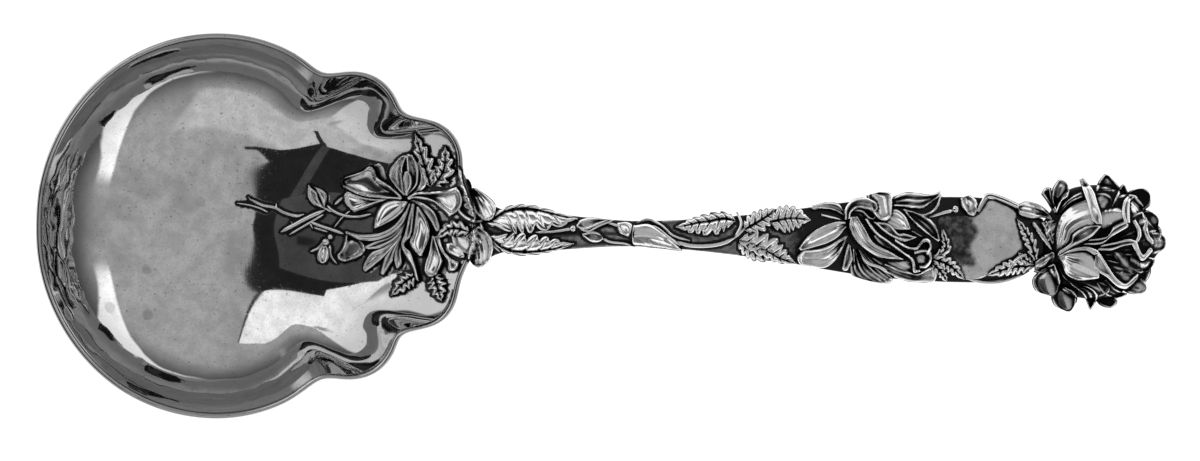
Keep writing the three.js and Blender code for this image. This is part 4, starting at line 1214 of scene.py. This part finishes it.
# %% Two silver finishes
def silver(name, bright, dull, dark, gloss, cloud, pits, marks, swells):
    material = bpy.data.materials.new(name)
    material.use_nodes = True
    tree = material.node_tree
    join = maths(tree)
    shader = tree.nodes["Principled BSDF"]
    shader.inputs["Metallic"].default_value = 1.0
    place_at = tree.nodes.new("ShaderNodeTexCoord").outputs["Object"]

    def noise(scale, detail, stretch=(1, 1, 1), turn=0.0):
        turned = node(tree, "ShaderNodeMapping", Rotation=(0, 0, turn), Scale=stretch)
        tree.links.new(place_at, turned.inputs["Vector"])
        made = node(tree, "ShaderNodeTexNoise", Scale=scale, Detail=detail)
        tree.links.new(turned.outputs["Vector"], made.inputs["Vector"])
        return made.outputs["Fac"]

    def mix(amount, first, second):
        made = tree.nodes.new("ShaderNodeMix")
        made.data_type = "RGBA"
        tree.links.new(amount, made.inputs["Factor"])
        for key, value in ((6, first), (7, second)):
            grey = value if hasattr(value, "links") else (value, value, value, 1)
            feed(tree, grey, made.inputs[key])
        return made.outputs[2]

    patina_and_painted_shade, worn = attribute(tree, "patina_and_painted_shade"), attribute(tree, "worn")
    clouds, grain, spots = noise(95, 6), noise(900, 4), noise(1900, 2)
    rubbed = join("ADD", noise(260, 8, (1, 14, 1), 0.35), noise(260, 8, (14, 1, 1), 0.2))
    pitted = ramp(tree, spots, 0.27, 0.35, 1, 0)
    tarnish = ramp(tree, clouds, 0.45, 0.7, 0, 1)
    # Oxide from the attribute, with the painted shade and painted reflection it also carries, broken up by
    # grain
    held = join("ADD", patina_and_painted_shade, join("MULTIPLY", join("SUBTRACT", grain, 0.5), 0.35))
    held = ramp(tree, held, 0.06, 0.5, 0, 1)
    mottle = ramp(tree, noise(420, 7), 0.35, 0.65, 0, 1)
    specks = ramp(tree, noise(2600, 3), 0.4, 0.7, 0, 1)
    cells = node(tree, "ShaderNodeTexVoronoi", Scale=130.0)
    tree.links.new(place_at, cells.inputs["Vector"])
    stained = join("MULTIPLY", ramp(tree, cells.outputs["Distance"], 0.13, 0.19, 1, 0),
                   ramp(tree, cells.outputs["Color"], 0.45, 0.6, 0, 0.9 * cloud))
    colour = mix(worn, dull, bright)
    colour = mix(join("MULTIPLY", mottle, 0.95 * cloud), colour, 0.6 * bright)
    colour = mix(join("MULTIPLY", specks, 0.7 * cloud), colour, 0.55 * bright)
    colour = mix(stained, colour, 0.3 * bright)
    colour = mix(join("MULTIPLY", tarnish, cloud), colour, 0.5 * bright)
    colour = mix(join("MULTIPLY", pitted, pits), colour, 0.2)
    colour = mix(held, colour, dark)
    tree.links.new(colour, shader.inputs["Base Color"])
    rough = join("ADD", ramp(tree, clouds, 0.3, 0.75, gloss, gloss * 1.8), join("MULTIPLY", held, 0.35))
    tree.links.new(rough, shader.inputs["Roughness"])
    height = join("SUBTRACT", join("MULTIPLY", rubbed, marks), join("MULTIPLY", pitted, 0.08 * pits))
    unworn = join("SUBTRACT", 1.0, worn)
    uneven = join("MULTIPLY", noise(190, 1), join("MULTIPLY", unworn, swells))
    bump = node(tree, "ShaderNodeBump", Strength=1.0, Distance=0.00002)
    tree.links.new(join("ADD", height, uneven), bump.inputs["Height"])
    tree.links.new(bump.outputs["Normal"], shader.inputs["Normal"])
    return material


FINISHES = {
    "polished_silver": silver("polished silver", bright=0.95, dull=0.45, dark=0.03, gloss=0.024,
                              cloud=0.5, pits=0.65, marks=0.015, swells=5),
    "oxidised_silver": silver("oxidised silver", bright=1.0, dull=0.6, dark=0.012, gloss=0.11,
                              cloud=0.12, pits=0.2, marks=0.15, swells=0),
}
for piece in pieces.values():
    piece.data.materials.clear()
    piece.data.materials.append(FINISHES[piece["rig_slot"]])
print("finishes:", list(FINISHES))

# %% [markdown]
# ## Floor and light
# The spoon lies on a plain white sweep under a soft studio. What polished silver
# shows is mostly the room, so the light is drawn as a soft grey room with panels in
# it. A pale band on the handle's side makes the bright crescents in the bowl, and
# pale panels stand low on the bowl's side. Overhead hang the dark block and the
# white patch that the bowl's floor mirrors. The floor is white to the camera and in
# reflections, and keeps a soft shadow.

# %% White floor
FLOOR_HALF = 30
FLOOR_GLOW = 0.92
floor_form = bmesh.new()
bmesh.ops.create_grid(floor_form, x_segments=1, y_segments=1, size=FLOOR_HALF)
floor_mesh = bpy.data.meshes.new("floor")
floor_form.to_mesh(floor_mesh)
floor_form.free()
floor = bpy.data.objects.new("floor", floor_mesh)
bpy.context.collection.objects.link(floor)
paper = bpy.data.materials.new("white paper")
paper.use_nodes = True
tree = paper.node_tree
tree.nodes.clear()
join = maths(tree)
rays = tree.nodes.new("ShaderNodeLightPath").outputs
mirrored = join("MAXIMUM", rays["Is Glossy Ray"], rays["Is Transmission Ray"])
seen = join("MAXIMUM", rays["Is Camera Ray"], mirrored)
glow = tree.nodes.new("ShaderNodeEmission")
tree.links.new(join("MULTIPLY", seen, FLOOR_GLOW), glow.inputs["Strength"])
matt = node(tree, "ShaderNodeBsdfDiffuse", Color=(0.5, 0.5, 0.5, 1))
both = tree.nodes.new("ShaderNodeAddShader")
tree.links.new(matt.outputs[0], both.inputs[0])
tree.links.new(glow.outputs[0], both.inputs[1])
out = tree.nodes.new("ShaderNodeOutputMaterial")
tree.links.new(both.outputs[0], out.inputs["Surface"])
floor.data.materials.append(paper)

# %% Directions in the room
world = bpy.data.worlds.new("studio")
bpy.context.scene.world = world
world.use_nodes = True
tree = world.node_tree
tree.nodes.clear()
join = maths(tree)
out = tree.nodes.new("ShaderNodeOutputWorld")
background = node(tree, "ShaderNodeBackground", Strength=1.0)
tree.links.new(background.outputs[0], out.inputs["Surface"])
facing = tree.nodes.new("ShaderNodeTexCoord").outputs["Generated"]


def toward(azimuth, elevation):
    a, e = math.radians(azimuth), math.radians(elevation)
    return np.array([math.cos(a) * math.cos(e), math.sin(a) * math.cos(e), math.sin(e)])


def dot(direction):
    made = tree.nodes.new("ShaderNodeVectorMath")
    made.operation = "DOT_PRODUCT"
    made.inputs[1].default_value = direction
    tree.links.new(facing, made.inputs[0])
    return made.outputs["Value"]


height = dot((0, 0, 1))
above_floor = join("MAXIMUM", height, 0.02)
over_x = join("DIVIDE", dot((1, 0, 0)), above_floor)
over_y = join("DIVIDE", dot((0, 1, 0)), above_floor)

# %% [markdown]
# ## Panels
# A standing panel is a soft rectangle round one direction. An overhead panel lies
# in a level plane, where x and y tell how far a direction leans. It is the part of
# the plane inside all of its edges. An edge has four numbers, and its inside is
# where first * x + second * y + third * y * y + fourth is above zero.

# %% Two kinds of panel
PANEL_SOFT = 0.05
EDGE_SOFT = 0.0015


def blend_to(below, inside, level):
    made = tree.nodes.new("ShaderNodeMix")
    made.data_type = "FLOAT"
    tree.links.new(inside, made.inputs[0])
    tree.links.new(below, made.inputs[2])
    made.inputs[3].default_value = level
    return made.outputs[0]


def panel(below, azimuth, elevation, wide, tall, level):
    centre = toward(azimuth, elevation)
    flat = np.cross([0, 0, 1], centre)
    flat = flat / np.linalg.norm(flat)
    rise = np.cross(centre, flat)
    depth = dot(centre)
    safe = join("MAXIMUM", depth, 0.001)
    inside = ramp(tree, depth, 0.0, 0.02, 0, 1)
    for axis, half in ((flat, wide), (rise, tall)):
        off = join("ABSOLUTE", join("DIVIDE", dot(axis), safe))
        inside = join("MULTIPLY", inside, ramp(tree, off, half - PANEL_SOFT, half + PANEL_SOFT, 1, 0))
    return blend_to(below, inside, level)


def overhead(below, level, edges):
    inside = ramp(tree, height, 0.0, 0.02, 0, 1)
    for x_share, y_share, bow, start in edges:
        value = join("ADD", join("MULTIPLY", over_x, x_share), join("MULTIPLY", over_y, y_share))
        value = join("ADD", value, join("MULTIPLY", join("MULTIPLY", over_y, over_y), bow))
        within = ramp(tree, value, -start - EDGE_SOFT, -start + EDGE_SOFT, 0, 1)
        inside = join("MULTIPLY", inside, within)
    return blend_to(below, inside, level)


# %% Soft room with panels
DEGREES = 180 / math.pi
room = ramp(tree, height, 0.05, 0.55, 0.10, 0.40)
side = join("MULTIPLY", join("ARCTAN2", join("ABSOLUTE", dot((0, 1, 0))), dot((1, 0, 0))), DEGREES)
down = join("MULTIPLY", join("ARCCOSINE", height), DEGREES)
start, end = ramp(tree, side, 14, 70, 52, 80), ramp(tree, side, 18, 42, 68, 91)
crescent = join("MULTIPLY", ramp(tree, join("SUBTRACT", down, start), -1, 2, 0, 1),
                ramp(tree, join("SUBTRACT", end, down), -1, 3, 0, 1))
ends = join("MULTIPLY", ramp(tree, side, 12, 20, 0, 1), ramp(tree, side, 70, 92, 1, 0))
room = blend_to(room, join("MULTIPLY", crescent, ends), 1.2)
PANELS = [(-110, 50, 0.5, 0.35, 0.55), (147, 17, 0.36, 0.24, 1.0),
          (-147, 17, 0.36, 0.24, 0.8), (180, 12, 0.3, 0.16, 1.0)]
for azimuth, elevation, wide, tall, level in PANELS:
    room = panel(room, azimuth, elevation, wide, tall, level)
BLACK = 0.018
OVERHEAD = [
    (0.03, [(-1, -0.115, 0, -0.092), (1, 0, 0, 1.4), (0, 1, 0, -0.1), (-0.75, -1, 0, 0.68)]),
    (1.0, [(-1, -0.115, 0, -0.104), (1, 0, 0, 1.4), (0, 1, 0, -0.1), (-0.75, -1, 0, 0.68)]),
    (BLACK, [(-1, 0, -1.9, -0.05), (1, 0, 0, 1.5), (-0.76, 1, 0, 0.175), (0, 1, 0, 0.56),
             (-0.45, -1, 0, 0.13), (-0.1, -1, 0, 0.26)]),
    (BLACK, [(-1, 0, 0, -0.121), (1, 0, 0, 0.6), (-0.76, 1, 0, 0.175), (-0.45, -1, 0, 0.13)]),
    (BLACK, [(-1, 0, 0, -0.09), (1, 0, 0, 0.3), (-0.76, 1, 0, 0.175), (0.76, -1, 0, -0.155)]),
    (0.07, [(-1, 0, 0, -0.15), (1, 0, 0, 1.3), (0, 1, 0, 0.03), (-0.3, -1, 0, 0.045)]),
    (0.06, [(-1.5, 1, 0, -0.265), (1.5, -1, 0, 0.395), (0, -1, 0, -0.03), (0, 1, 0, 0.56)]),
    (0.03, [(1, 0, 0, 0.59), (-1, 0, 0, -0.53), (0, 1, 0, 0.95), (0, -1, 0, -0.55)]),
]
for level, edges in OVERHEAD:
    room = overhead(room, level, edges)
tree.links.new(room, background.inputs["Color"])
print("panels:", len(PANELS) + len(OVERHEAD))

# %% [markdown]
# ## Camera
# The spoon is seen straight from above through a long lens, very slightly turned.

# %% Long lens from above
LOOK_AT = (0.07595, 0.0005)
DISTANCE = 2.4
SPOON_LEVEL = 0.012
PICTURE_WIDTH = 0.24336
PICTURE_TURN = 1.06
SENSOR = 36
lens = bpy.data.cameras.new("camera")
lens.sensor_width = SENSOR
lens.lens = SENSOR * DISTANCE / PICTURE_WIDTH
camera = bpy.data.objects.new("camera", lens)
camera.location = (*LOOK_AT, DISTANCE + SPOON_LEVEL)
camera.rotation_euler = (0, 0, math.radians(PICTURE_TURN))
bpy.context.collection.objects.link(camera)
bpy.context.scene.camera = camera
bpy.context.scene.view_settings.view_transform = "Standard"
